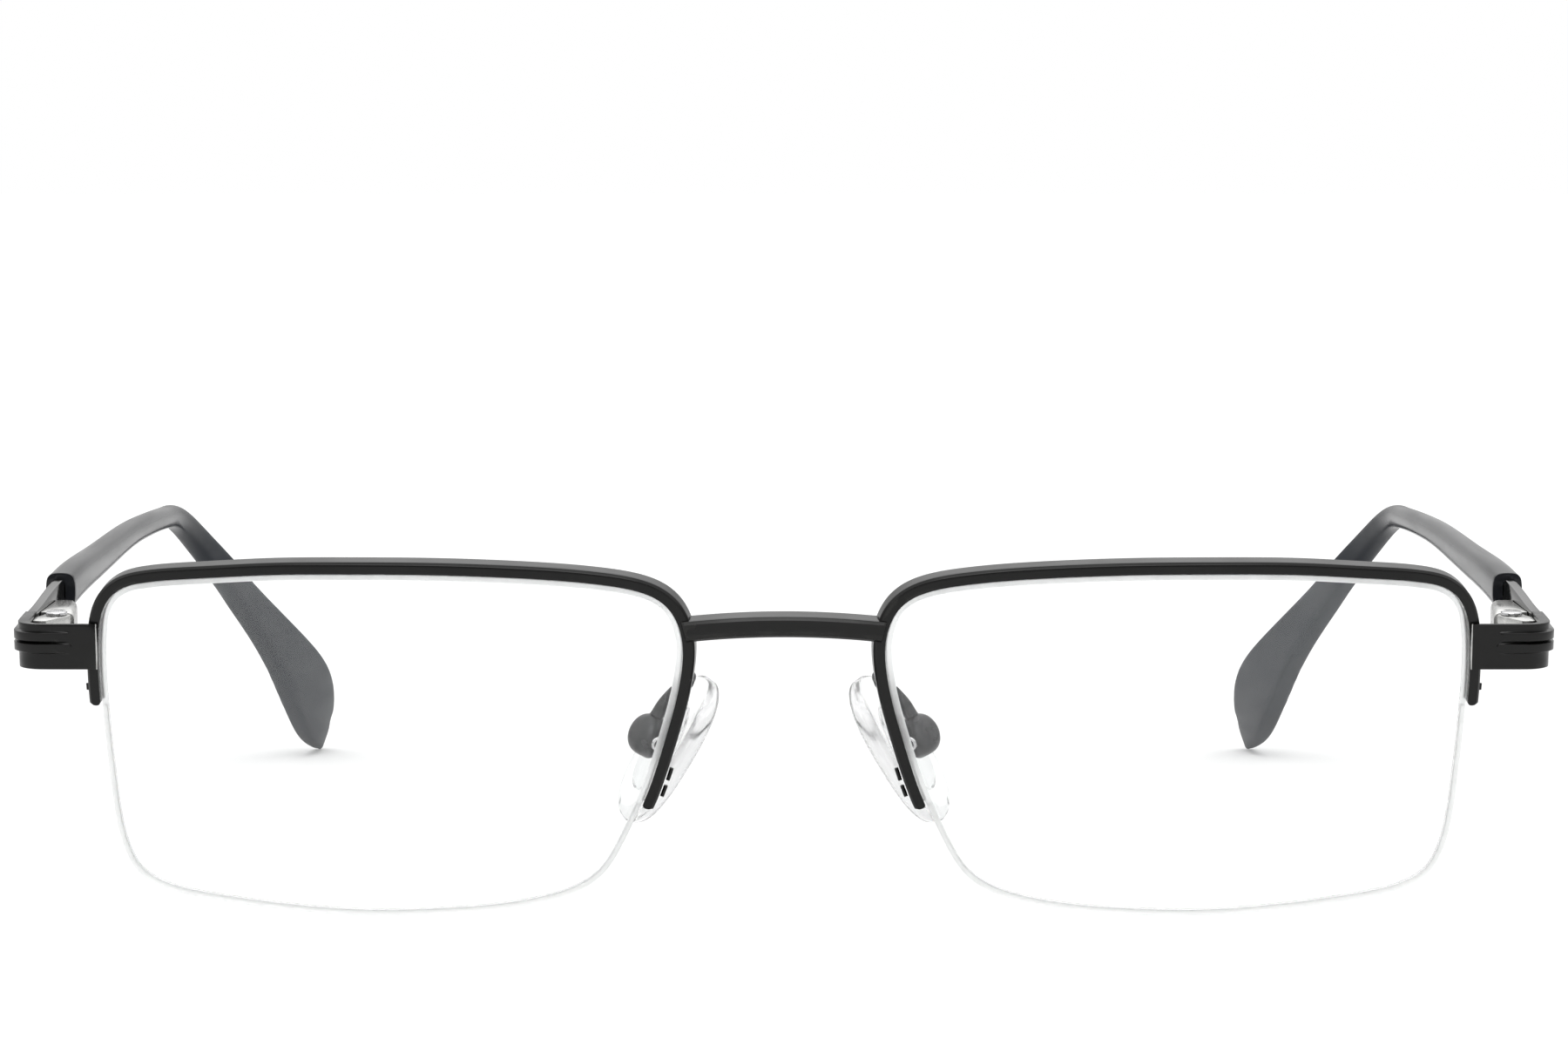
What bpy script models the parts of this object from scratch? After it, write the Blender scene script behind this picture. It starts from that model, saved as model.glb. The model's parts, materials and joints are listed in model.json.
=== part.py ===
"""Semi-rimless eyeglasses, standing open on the lenses and the temple tips.

Units are metres, +Z is up, +X is the wearer's left and +Y points from the lenses to the temple tips.
Each left-hand piece is drawn first, and its right-hand twin is the same drawing mirrored in X = 0.
Three frames are used:
  the front frame, whose zero is the surface point at the middle of the left lens's front,
  the hinge frame, whose zero is on the hinge pin: x outwards, y back along the temple, z up the pin,
  the pad frame, whose zero is on the pad screw: x across the pad, y up the pad, z towards the nose.
"""

import bisect
import math

import bmesh
import bpy
from mathutils import Matrix, Vector

MM = 0.001
DEG = math.pi / 180

# Lenses
LENS_WIDTH = 53.9 * MM
LENS_HEIGHT = 32.55 * MM
LENS_THICKNESS = 2.0 * MM
LENS_CURVE_RADIUS = 130.0 * MM
LENS_GAP = 18.6 * MM
FRONT_TILT = 11.5 * DEG
FRONT_WRAP = 5.0 * DEG
GROOVE_DEPTH = 0.60 * MM
GROOVE_WIDTH = 0.76 * MM

# Half rims
RIM_WIDTH = 1.05 * MM
RIM_DEPTH = 2.1 * MM
RIM_FRONT_LIP = 0.3 * MM
RIM_CHANNEL_DEPTH = 0.50 * MM
RIM_CHANNEL_WIDTH = 0.84 * MM
RIM_CHAMFER = 0.2 * MM
RIM_END_ROUNDING = 0.32 * MM
RIM_TO_LENS = 0.12 * MM
# How much of the rim's width the bridge and the end pieces lap over in front
BRIDGE_LAP_SHARE = 0.7
END_LAP_SHARE = 0.85

# Nylon in the groove
LINER_RADIUS = 0.28 * MM
THREAD_RADIUS = 0.24 * MM
THREAD_TO_GROOVE = 0.06 * MM
KNOT_RADIUS = 0.21 * MM

# Bridge
BRIDGE_HEIGHT = 1.9 * MM
BRIDGE_DEPTH = 2.4 * MM
BRIDGE_RISE = 10.45 * MM
BRIDGE_DROP = 0.55 * MM
BRIDGE_BOW = 0.8 * MM
BRIDGE_CHAMFER = 0.25 * MM
BRIDGE_PROUD = 0.35 * MM
BRIDGE_SKEW_POWER = 9

# End pieces
END_REACH = 6.46 * MM
END_HEIGHT = 4.2 * MM
END_WALL = 1.0 * MM
END_RISE = 8.7 * MM
END_CORNER_RADIUS = 2.6 * MM
END_PROUD = 0.65 * MM
RIB_RISE = 0.42 * MM
RIB_HEIGHT = 0.9 * MM
RIB_LIFT = 0.4 * MM
RIB_GROOVE = 0.16 * MM
# How the ribs grow along the strip's flat front: share of the way to the corner, share of their rise
RIB_GROWTH_SHARES = ((0.3, 0.0), (0.55, 0.35), (0.8, 0.8))

# Hinges
HINGE_BACK = 7.95 * MM
HINGE_INSET = 1.8 * MM
HINGE_LEAN = 4.0 * DEG
PIN_RADIUS = 0.6 * MM
PIN_HEAD_RADIUS = 1.0 * MM
PIN_HEAD_HEIGHT = 0.3 * MM
PIN_SLOT_WIDTH = 0.3 * MM
PIN_SLOT_DEPTH = 0.18 * MM
LEAF_RADIUS = 1.25 * MM
LEAF_THICKNESS = 1.05 * MM
EYE_THICKNESS = 1.1 * MM
KNUCKLE_LENGTH = 3.4 * MM
KNUCKLE_DEPTH = 1.2 * MM
WALL_END_GAP = 0.5 * MM

# Spring housings, and what slides in them
TEMPLE_TOE_IN = 4.5 * DEG
HOUSING_FRONT = 1.75 * MM
HOUSING_LENGTH = 7.2 * MM
HOUSING_FRONT_REACH = 1.3 * MM
HOUSING_HEIGHT = 3.4 * MM
HOUSING_INNER_WALL = 0.26 * MM
HOUSING_END_WALL = 0.7 * MM
HOUSING_EDGE = 0.7 * MM
BORE_OFFSET = 0.82 * MM
BORE_RADIUS = 0.64 * MM
SHANK_RADIUS = 0.3 * MM
STOP_NUT_RADIUS = 0.54 * MM
STOP_NUT_LENGTH = 0.6 * MM
STOP_NUT_SETBACK = 0.3 * MM
SPRING_WIRE_RADIUS = 0.11 * MM
SPRING_TURNS = 6

# Temples
PLATE_THICKNESS = 0.9 * MM
PLATE_START_GAP = 0.2 * MM
TEMPLE_RUN = 131.0 * MM
TEMPLE_ARCH = 5.1 * MM
TIP_INSET = 12.85 * MM
TIP_TWIST = 15.0 * DEG
SLEEVE_START = 13.0 * MM
SLEEVE_THICKNESS = 2.8 * MM
SLEEVE_HEIGHT = 3.5 * MM
SLEEVE_ROUNDING = 0.8 * MM
ROUNDEST_SHARE = 0.9
CORE_THICKNESS = 0.8 * MM
CORE_HEIGHT = 1.5 * MM

# Nose pads
PAD_LENGTH = 15.0 * MM
PAD_WIDTH = 8.2 * MM
PAD_THICKNESS = 2.8 * MM
PAD_SPREAD = 10.55 * MM
PAD_BACK = 9.0 * MM
PAD_HEIGHT = 14.9 * MM
PAD_SPLAY = 32.0 * DEG
PAD_SLANT = 31.0 * DEG
PAD_EYE_RISE = 0.4 * MM
BOX_RADIUS = 2.0 * MM
BOX_DEPTH = 2.2 * MM
BOX_WALL = 0.4 * MM
BOX_ROUNDING = 1.1 * MM
PAD_TO_BOX = 0.85 * MM
PAD_PIN_RADIUS = 0.4 * MM
PAD_PIN_HEAD_RADIUS = 0.7 * MM
PAD_PIN_HEAD_LENGTH = 0.35 * MM
PAD_PIN_DEPTH = 0.85 * MM
POST_WALL = 0.3 * MM
INSERT_LENGTH = 9.0 * MM
INSERT_WIDTH = 4.4 * MM
INSERT_THICKNESS = 0.7 * MM
ARM_RISE = 5.3 * MM
ARM_RADIUS = 0.68 * MM
ARM_ROOT_LENGTH = 2.2 * MM
ARM_DROP_LENGTH = 1.2 * MM

# Clearances between pieces
BRAZE_GAP = 0.05 * MM
SEAT_GAP = 0.06 * MM
PIN_GAP = 0.06 * MM
RUN_GAP = 0.10 * MM
CUT_OVERRUN = 1.0 * MM
WELD_DISTANCE = 0.001 * MM

# The lens outline from the half rim's temple end over the top, as shares of half the lens's width and
# height. The half rim covers the first RIM_SPANS of its spans, and the thread the others.
OUTLINE_SHARES = (
    (0.982, 0.20), (0.986, 0.39), (0.981, 0.60), (0.962, 0.755), (0.903, 0.87), (0.79, 0.922),
    (0.60, 0.957), (0.36, 0.989), (0.10, 1.0), (-0.18, 0.998), (-0.45, 0.977), (-0.68, 0.940),
    (-0.85, 0.885), (-0.945, 0.80), (-0.990, 0.66), (-0.998, 0.50), (-0.976, 0.28), (-0.931, 0.02),
    (-0.881, -0.23), (-0.850, -0.352), (-0.803, -0.52), (-0.747, -0.69), (-0.68, -0.81),
    (-0.57, -0.895), (-0.385, -0.957), (-0.135, -0.99), (0.12, -1.0), (0.38, -0.977), (0.62, -0.938),
    (0.785, -0.89), (0.885, -0.80), (0.933, -0.65), (0.956, -0.45), (0.968, -0.20), (0.976, 0.0),
)
RIM_SPANS = 19
TOP_SPAN = 8
NEARBY_SPAN = 0.01
NEARBY_SHARE = 0.004
# The knots of the thread outside its holes in the rim's ends: name, the rim's end, length, and the
# distance of its middle from that end
TEMPLE_END, NOSE_END = 0, 1
KNOTS = (
    ("thread_knot_outer", TEMPLE_END, 0.6 * MM, 1.41 * MM),
    ("thread_knot_upper", NOSE_END, 1.2 * MM, 3.33 * MM),
    ("thread_knot_lower", NOSE_END, 1.1 * MM, 1.70 * MM),
)
LENS_RING_SHARES = (0.85, 0.5)

# The temple's middle line and its section: run along the temple, rise of the arch, drop to the table,
# side offset at the sleeve's mouth, inset of the tip, thickness, height, twist. The row at the mouth is
# MOUTH_SHARES, whose run follows from the hinge.
TEMPLE_SHARES = (
    (0.157, 0.68, 0.0, 0.82, 0.0, 0.98, 0.96, 0.0),
    (0.271, 0.814, 0.0, 0.50, 0.0, 0.92, 0.84, 0.0),
    (0.435, 0.99, 0.0, 0.09, 0.0, 0.86, 0.72, 0.0),
    (0.554, 1.0, 0.0, 0.0, 0.026, 0.83, 0.68, 0.0),
    (0.640, 0.96, 0.0, 0.0, 0.053, 0.82, 0.68, 0.0),
    (0.676, 0.928, 0.0, 0.0, 0.065, 0.82, 0.72, 0.03),
    (0.714, 0.67, 0.0, 0.0, 0.123, 0.83, 0.82, 0.15),
    (0.752, 0.10, 0.0, 0.0, 0.247, 0.85, 0.94, 0.30),
    (0.783, 0.0, 0.098, 0.0, 0.395, 0.88, 1.05, 0.45),
    (0.817, 0.0, 0.232, 0.0, 0.528, 0.90, 1.20, 0.62),
    (0.848, 0.0, 0.362, 0.0, 0.683, 0.92, 1.42, 0.80),
    (0.882, 0.0, 0.508, 0.0, 0.834, 0.94, 1.83, 0.95),
    (0.920, 0.0, 0.670, 0.0, 0.968, 0.94, 2.40, 1.0),
    (0.943, 0.0, 0.768, 0.0, 1.024, 0.90, 2.52, 1.0),
    (0.970, 0.0, 0.866, 0.0, 1.056, 0.80, 1.86, 1.0),
    (0.990, 0.0, 0.945, 0.0, 1.045, 0.60, 1.04, 1.0),
    (1.0, 0.0, 0.985, 0.0, 1.020, 0.36, 0.36, 1.0),
)
MOUTH_SHARES = (0.55, 0.0, 1.0, 0.0, 1.0, 1.0, 0.0)
CORE_END_SHARE = 0.94
# The plate between the hinge and the sleeve: share of the way, then its foot and its top as shares of
# the end piece's height
PLATE_SHARES = (
    (0.0, -0.50, 0.45), (0.25, -0.46, 0.56), (0.5, -0.37, 0.73), (0.75, -0.16, 0.87), (0.95, 0.10, 0.96),
)
# The pad from foot to top: place along it, half width and thickness, as shares of the pad's own
PAD_SHARES = (
    (-0.5, 0.25, 0.36), (-0.47, 0.53, 0.52), (-0.40, 0.79, 0.70), (-0.28, 0.95, 0.88),
    (-0.12, 1.0, 0.98), (0.05, 1.0, 1.0), (0.20, 0.97, 0.94), (0.33, 0.86, 0.82), (0.42, 0.68, 0.66),
    (0.475, 0.46, 0.50), (0.5, 0.2, 0.34),
)
# Half of the pad's section from the middle of its back to its crown: shares of half width and thickness
PAD_SECTION_SHARES = ((0.75, 0.0), (0.97, 0.22), (1.0, 0.42), (0.9, 0.68), (0.6, 0.9))

# How finely curves are divided
RIM_STEPS = 64
LENS_STEPS = 84
THREAD_STEPS = 48
BRIDGE_STEPS = 12
CORNER_STEPS = 6
SLEEVE_STEPS = 38
ROUND_SIDES = 20
COIL_POINTS = 9
ARM_STEPS = 10
BORE_SIDES = 16
SHANK_SIDES = 12
LEAF_STEPS = 10
EDGE_STEPS = 4
FINE_STEPS = 40
HALVINGS = 24
SETTLE_ROUNDS = 6
WIRE_STEPS = 1
ROUND_WIRE_STEPS = 2
SMOOTH_ANGLE = 35 * DEG
QUARTER = 90 * DEG

# Colours as red, green and blue, with roughness and metallic
BLACK_METAL = ("black_metal", (0.012, 0.012, 0.013), 0.22, 0.6)
BLACK_PLASTIC = ("black_plastic", (0.014, 0.016, 0.019), 0.32, 0.0)
DARK_STEEL = ("dark_steel", (0.16, 0.16, 0.165), 0.3, 1.0)
STEEL = ("steel", (0.55, 0.55, 0.56), 0.25, 1.0)
LENS_PLASTIC = ("lens_plastic", (0.95, 0.97, 0.97), 0.03, 0.0)
CLEAR_SILICONE = ("clear_silicone", (0.88, 0.89, 0.89), 0.25, 0.0)
CLEAR_PLASTIC = ("clear_plastic", (0.80, 0.82, 0.82), 0.15, 0.0)
NYLON = ("nylon", (0.85, 0.86, 0.86), 0.35, 0.0)

# Scene and collections
for old in list(bpy.data.objects):
    bpy.data.objects.remove(old, do_unlink=True)


def new_collection(name):
    made = bpy.data.collections.new(name)
    bpy.context.scene.collection.children.link(made)
    return made


PARTS = new_collection("semi_rimless_eyeglasses")


def material_of(finish):
    """The Principled material of a finish, made once."""
    name, colour, roughness, metallic = finish
    if name in bpy.data.materials:
        return bpy.data.materials[name]
    made = bpy.data.materials.new(name)
    made.use_nodes = True
    shader = made.node_tree.nodes["Principled BSDF"]
    shader.inputs["Base Color"].default_value = (*colour, 1.0)
    shader.inputs["Roughness"].default_value = roughness
    shader.inputs["Metallic"].default_value = metallic
    return made


# Curves through chosen points
def smooth_row(knots, rows, at):
    """The row at a knot value, on a curve through all rows, whose slope at a knot follows its neighbours."""
    last = len(knots) - 2
    i = min(max(bisect.bisect_right(knots, at) - 1, 0), last)

    def slope(k, column):
        low, high = max(k - 1, 0), min(k + 1, len(knots) - 1)
        return (rows[high][column] - rows[low][column]) / (knots[high] - knots[low])

    span = knots[i + 1] - knots[i]
    t = (at - knots[i]) / span
    row = []
    for c in range(len(rows[0])):
        start, end = rows[i][c], rows[i + 1][c]
        row.append(
            start * (2 * t**3 - 3 * t**2 + 1)
            + end * (3 * t**2 - 2 * t**3)
            + span * slope(i, c) * (t**3 - 2 * t**2 + t)
            + span * slope(i + 1, c) * (t**3 - t**2)
        )
    return row


def outline_at(span):
    """A point of the lens's outline, span counting the outline's spans, and the outward normal there."""
    count = len(OUTLINE_SHARES)
    first = math.floor(span) - 2
    knots = list(range(first, first + 6))
    rows = [OUTLINE_SHARES[k % count] for k in knots]

    def place(at):
        x, y = smooth_row(knots, rows, at)
        return Vector((x * LENS_WIDTH / 2, y * LENS_HEIGHT / 2))

    along = place(span + NEARBY_SPAN) - place(span - NEARBY_SPAN)
    return place(span), Vector((along.y, -along.x)).normalized()


def even_spans(start, end, count):
    """Span values from start to end whose points lie about evenly along the outline."""
    parts = FINE_STEPS * count
    marks = [start + (end - start) * i / parts for i in range(parts + 1)]
    places = [outline_at(m)[0] for m in marks]
    lengths = [0.0]
    for a, b in zip(places, places[1:]):
        lengths.append(lengths[-1] + (b - a).length)
    return [
        marks[min(bisect.bisect_left(lengths, lengths[-1] * i / count), len(marks) - 1)]
        for i in range(count + 1)
    ]


# The front frame
LENS_ACROSS = Vector((math.cos(FRONT_WRAP), math.sin(FRONT_WRAP), 0))
LENS_UP = Vector(
    (
        math.sin(FRONT_WRAP) * math.sin(FRONT_TILT),
        -math.cos(FRONT_WRAP) * math.sin(FRONT_TILT),
        math.cos(FRONT_TILT),
    )
)
LENS_BACK = Vector(
    (
        -math.sin(FRONT_WRAP) * math.cos(FRONT_TILT),
        math.cos(FRONT_WRAP) * math.cos(FRONT_TILT),
        math.sin(FRONT_TILT),
    )
)


def from_lens(across, up, back):
    """A point given in the front frame, before the lens is lifted to stand on the table."""
    sag = LENS_CURVE_RADIUS - math.sqrt(LENS_CURVE_RADIUS**2 - across**2 - up**2)
    centre = Vector((LENS_GAP / 2 + LENS_WIDTH / 2 * math.cos(FRONT_WRAP), 0, 0))
    return centre + LENS_ACROSS * across + LENS_UP * up + LENS_BACK * (sag + back)


def rim_place(span, outwards, back):
    """A point beside the lens's edge: outwards from the edge, and back from the lens's front surface."""
    spot, normal = outline_at(span)
    spot = spot + normal * outwards
    return from_lens(spot.x, spot.y, back)


def lens_foot():
    """How far the lens's lowest point lies below its middle."""
    edge = [rim_place(span, 0, 0).z for span in even_spans(0, len(OUTLINE_SHARES), LENS_STEPS)]
    return -min(edge)


LENS_LIFT = lens_foot()
RIM_INNER = RIM_TO_LENS
RIM_OUTER = RIM_TO_LENS + RIM_WIDTH
RIM_FRONT = -RIM_FRONT_LIP
RIM_REAR = RIM_FRONT + RIM_DEPTH
GROOVE_MIDDLE = LENS_THICKNESS / 2


def lifted(point):
    return point + Vector((0, 0, LENS_LIFT))


# The end piece's front face and the hinge pin, both found from the rim's outer side
def span_at_rise(rise, low, high):
    """The span between two others at which the outline passes this height above the lens's middle."""
    rising = outline_at(high)[0].y > outline_at(low)[0].y
    for _ in range(HALVINGS):
        middle = (low + high) / 2
        if (outline_at(middle)[0].y < rise) == rising:
            low = middle
        else:
            high = middle
    return (low + high) / 2


END_SPAN = span_at_rise(END_RISE, 0, TOP_SPAN)
END_ROOT = lifted(rim_place(END_SPAN, RIM_OUTER, RIM_FRONT))
END_FRONT_Y = END_ROOT.y - END_PROUD
WALL_OUTER_X = END_ROOT.x + END_REACH
WALL_INNER_X = WALL_OUTER_X - END_WALL
LEAN_SLOPE = math.tan(HINGE_LEAN)
HINGE = Vector(
    (WALL_INNER_X - HINGE_INSET, END_FRONT_Y + HINGE_BACK, END_ROOT.z + HINGE_BACK * LEAN_SLOPE)
)
HINGE_FRAME = Matrix.Translation(HINGE) @ Matrix.Rotation(HINGE_LEAN, 4, "X")
TEMPLE_FRAME = HINGE_FRAME @ Matrix.Rotation(TEMPLE_TOE_IN, 4, "Z")

# The pad frame
PAD_SCREW_BACK = PAD_THICKNESS / 2 + PAD_TO_BOX + PAD_PIN_DEPTH
PAD_TURN = Matrix.Rotation(-PAD_SLANT, 4, "Y")
PAD_ACROSS = PAD_TURN @ Vector((-math.sin(PAD_SPLAY), -math.cos(PAD_SPLAY), 0))
PAD_UP = PAD_TURN @ Vector((0, 0, 1))
PAD_TO_NOSE = PAD_TURN @ Vector((-math.cos(PAD_SPLAY), math.sin(PAD_SPLAY), 0))
PAD_MIDDLE = Vector((PAD_SPREAD, PAD_BACK, PAD_HEIGHT))
PAD_PIVOT = PAD_MIDDLE + PAD_UP * PAD_EYE_RISE - PAD_TO_NOSE * PAD_SCREW_BACK
PAD_FRAME = Matrix.Translation(PAD_PIVOT) @ Matrix(
    [[PAD_ACROSS[i], PAD_UP[i], PAD_TO_NOSE[i], 0] for i in range(3)] + [[0, 0, 0, 1]]
)


# Carriers: a moving piece hangs under the empty that stands on its joint's axis
def new_carrier(name, place, parent=None):
    empty = bpy.data.objects.new(name, None)
    empty.empty_display_size = PAD_LENGTH
    PARTS.objects.link(empty)
    empty.parent = parent
    empty.location = place - (whole_place(parent) if parent else Vector())
    return empty


def whole_place(carrier):
    """Where a carrier stands before the whole object is moved onto its origin."""
    place = Vector()
    while carrier:
        place = place + carrier.location
        carrier = carrier.parent
    return place


ROOT = new_carrier("frame_origin", Vector())


def adopt(piece, name, finish, side, carrier):
    """Names a piece drawn on the left, mirrors it for the right, and hangs it under its carrier."""
    mirror = Matrix.Diagonal((side, 1, 1, 1))
    piece.data.transform(Matrix.Translation(-whole_place(carrier)) @ mirror @ piece.matrix_world)
    if side < 0 and piece.type == "MESH":
        piece.data.flip_normals()
    piece.matrix_world = Matrix()
    piece.parent = carrier
    piece.name = name
    piece.data.name = name
    piece.data.materials.clear()
    piece.data.materials.append(material_of(finish))
    for home in list(piece.users_collection):
        home.objects.unlink(piece)
    PARTS.objects.link(piece)
    return piece


# Shapes
def mesh_object(name, body):
    """An object from a bmesh, with its faces turned outwards and its round sides shaded smooth."""
    bmesh.ops.recalc_face_normals(body, faces=body.faces)
    data = bpy.data.meshes.new(name)
    body.to_mesh(data)
    body.free()
    data.shade_smooth()
    data.set_sharp_from_angle(angle=SMOOTH_ANGLE)
    made = bpy.data.objects.new(name, data)
    PARTS.objects.link(made)
    return made


def loft(name, rings, ladder=False):
    """A closed solid through rings of equally many points, capped at both ends.

    A ladder's ring runs up one side and down the other, point beside point, and its caps are its rungs.
    """
    body = bmesh.new()
    made = [[body.verts.new(p) for p in ring] for ring in rings]
    count = len(rings[0])
    for one, two in zip(made, made[1:]):
        for i in range(count):
            j = (i + 1) % count
            body.faces.new((one[i], one[j], two[j], two[i]))
    for end in (made[0], made[-1]):
        if ladder:
            for i in range(count // 2 - 1):
                body.faces.new((end[i], end[i + 1], end[count - 2 - i], end[count - 1 - i]))
        else:
            body.faces.new(end)
    bmesh.ops.triangulate(body, faces=[f for f in body.faces if len(f.verts) > 4])
    return mesh_object(name, body)


def tube(name, points, radius, sides_level):
    """A wire: a curve object through the points, with a round bevel and filled caps."""
    data = bpy.data.curves.new(name, "CURVE")
    data.dimensions = "3D"
    data.bevel_depth = radius
    data.bevel_resolution = sides_level
    data.use_fill_caps = True
    spline = data.splines.new("POLY")
    spline.points.add(len(points) - 1)
    for target, point in zip(spline.points, points):
        target.co = (*point, 1.0)
    made = bpy.data.objects.new(name, data)
    PARTS.objects.link(made)
    return made


def turned(name, profile, steps=ROUND_SIDES):
    """A solid turned about its own Z from a profile of (radius, height), listed from top to bottom."""
    body = bmesh.new()
    line = [body.verts.new((r, 0, z)) for r, z in profile]
    for a, b in zip(line, line[1:]):
        body.edges.new((a, b))
    bmesh.ops.spin(
        body, geom=body.verts[:] + body.edges[:], axis=(0, 0, 1), cent=(0, 0, 0), steps=steps,
        angle=2 * math.pi, use_merge=True,
    )
    bmesh.ops.remove_doubles(body, verts=body.verts, dist=WELD_DISTANCE)
    return mesh_object(name, body)


def box(name, low, high):
    """A box between two corners."""
    body = bmesh.new()
    low, high = Vector(low), Vector(high)
    size = high - low
    bmesh.ops.create_cube(
        body, size=1, matrix=Matrix.Translation((low + high) / 2) @ Matrix.Diagonal((*size, 1))
    )
    return mesh_object(name, body)


def prism(name, outline, low, high):
    """A flat outline in X and Y, drawn up from low to high."""
    return loft(name, [[Vector((x, y, z)) for x, y in outline] for z in (low, high)])


def arc(centre, radius, start, end, steps):
    """Points of an arc in a plane, both ends included."""
    return [
        (
            centre[0] + radius * math.cos(start + (end - start) * i / steps),
            centre[1] + radius * math.sin(start + (end - start) * i / steps),
        )
        for i in range(steps + 1)
    ]


def combine(piece, other, operation):
    """Cuts another solid out of a piece or joins it on, and removes the other."""
    bpy.context.view_layer.update()
    change = piece.modifiers.new(operation.lower(), "BOOLEAN")
    change.operation = operation
    change.solver = "EXACT"
    change.object = other
    bpy.context.view_layer.update()
    seen = piece.evaluated_get(bpy.context.evaluated_depsgraph_get())
    data = bpy.data.meshes.new_from_object(seen)
    piece.modifiers.remove(change)
    piece.data = data
    bpy.data.objects.remove(other, do_unlink=True)
    return piece


def cut(piece, cutter):
    return combine(piece, cutter, "DIFFERENCE")


def join(piece, other):
    return combine(piece, other, "UNION")


def put(piece, frame):
    piece.matrix_world = frame
    return piece


def as_mesh(wire):
    """A mesh object in place of a wire's curve, with its caps welded on."""
    bpy.context.view_layer.update()
    seen = wire.evaluated_get(bpy.context.evaluated_depsgraph_get())
    body = bmesh.new()
    body.from_mesh(bpy.data.meshes.new_from_object(seen))
    bmesh.ops.remove_doubles(body, verts=body.verts, dist=WELD_DISTANCE)
    made = mesh_object(wire.name, body)
    made.matrix_world = wire.matrix_world
    bpy.data.objects.remove(wire, do_unlink=True)
    return made


# Lenses and half rims
def rim_ring(span, grow=0.0, inset=0.0):
    """The half rim's section with its channel, or, when grown, a plain section round it.

    An inset narrows it from both sides.
    """
    low, high = RIM_INNER - grow + inset, RIM_OUTER + grow - inset
    front, rear = RIM_FRONT - grow, RIM_REAR + grow
    chamfer = RIM_CHAMFER
    section = [
        (low, front), (high - chamfer, front), (high, front + chamfer),
        (high, rear - chamfer), (high - chamfer, rear), (low, rear),
    ]
    if not grow:
        near = GROOVE_MIDDLE - RIM_CHANNEL_WIDTH / 2
        far = GROOVE_MIDDLE + RIM_CHANNEL_WIDTH / 2
        floor = RIM_INNER + RIM_CHANNEL_DEPTH
        section += [(low, far), (floor, far), (floor, near), (low, near)]
    return [lifted(rim_place(span, r, w)) for r, w in section]


def half_rim(grow=0.0):
    """The rim's bar along the upper part of the outline, with rounded ends."""
    rings = [rim_ring(span, grow) for span in even_spans(0, RIM_SPANS, RIM_STEPS)[1:-1]]
    for i in range(EDGE_STEPS + 1):
        angle = QUARTER * i / EDGE_STEPS
        distance = RIM_END_ROUNDING * (1 - math.sin(angle))
        inset = RIM_END_ROUNDING * (1 - math.cos(angle))
        rings.insert(0, rim_ring(span_from_end(TEMPLE_END, distance), grow, inset))
        rings.append(rim_ring(span_from_end(NOSE_END, distance), grow, inset))
    return loft("half_rim", rings)


def lens():
    """A meniscus whose edge carries the groove."""
    spans = even_spans(0, len(OUTLINE_SHARES), LENS_STEPS)[:-1]
    near = GROOVE_MIDDLE - GROOVE_WIDTH / 2
    far = GROOVE_MIDDLE + GROOVE_WIDTH / 2
    edge = [(0, 0), (0, near), (-GROOVE_DEPTH, near), (-GROOVE_DEPTH, far), (0, far), (0, LENS_THICKNESS)]
    body = bmesh.new()

    def ring(share, outwards, back):
        made = []
        for span in spans:
            spot, normal = outline_at(span)
            spot = spot * share + normal * outwards
            made.append(body.verts.new(lifted(from_lens(spot.x, spot.y, back))))
        return made

    rings = [ring(share, 0, 0) for share in reversed(LENS_RING_SHARES)]
    rings += [ring(1, outwards, back) for outwards, back in edge]
    rings += [ring(share, 0, LENS_THICKNESS) for share in LENS_RING_SHARES]
    for one, two in zip(rings, rings[1:]):
        for i in range(len(spans)):
            j = (i + 1) % len(spans)
            body.faces.new((one[i], one[j], two[j], two[i]))
    for end, back in ((rings[0], 0), (rings[-1], LENS_THICKNESS)):
        middle = body.verts.new(lifted(from_lens(0, 0, back)))
        for i in range(len(spans)):
            body.faces.new((end[i], end[(i + 1) % len(spans)], middle))
    bmesh.ops.triangulate(body, faces=body.faces)
    return mesh_object("lens", body)


def groove_wire(name, start, end, outwards, radius):
    spans = even_spans(start, end, THREAD_STEPS)
    points = [lifted(rim_place(span, outwards, GROOVE_MIDDLE)) for span in spans]
    return tube(name, points, radius, WIRE_STEPS)


def nylon_liner():
    """The round liner lies half in the rim's channel and half in the lens's groove."""
    inset = RIM_SPANS / (2 * RIM_STEPS)
    outwards = (RIM_TO_LENS + RIM_CHANNEL_DEPTH - GROOVE_DEPTH) / 2
    return groove_wire("nylon_liner", inset, RIM_SPANS - inset, outwards, LINER_RADIUS)


def nylon_thread():
    """The round thread lies on the floor of the lens's groove, from one rim end to the other."""
    inset = RIM_SPANS / (4 * RIM_STEPS)
    outwards = THREAD_TO_GROOVE + THREAD_RADIUS - GROOVE_DEPTH
    return groove_wire(
        "nylon_thread", RIM_SPANS + inset, len(OUTLINE_SHARES) - inset, outwards, THREAD_RADIUS
    )


def span_from_end(end, distance):
    """The span of the half rim at a distance along the outline from one of its ends."""
    start, finish = (RIM_SPANS, 0) if end == NOSE_END else (0, RIM_SPANS)
    low, high = 0.0, 1.0
    for _ in range(HALVINGS):
        share = (low + high) / 2
        marks = [start + (finish - start) * share * i / FINE_STEPS for i in range(FINE_STEPS + 1)]
        places = [outline_at(mark)[0] for mark in marks]
        walked = sum((b - a).length for a, b in zip(places, places[1:]))
        if walked < distance:
            low = share
        else:
            high = share
    return start + (finish - start) * low


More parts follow.
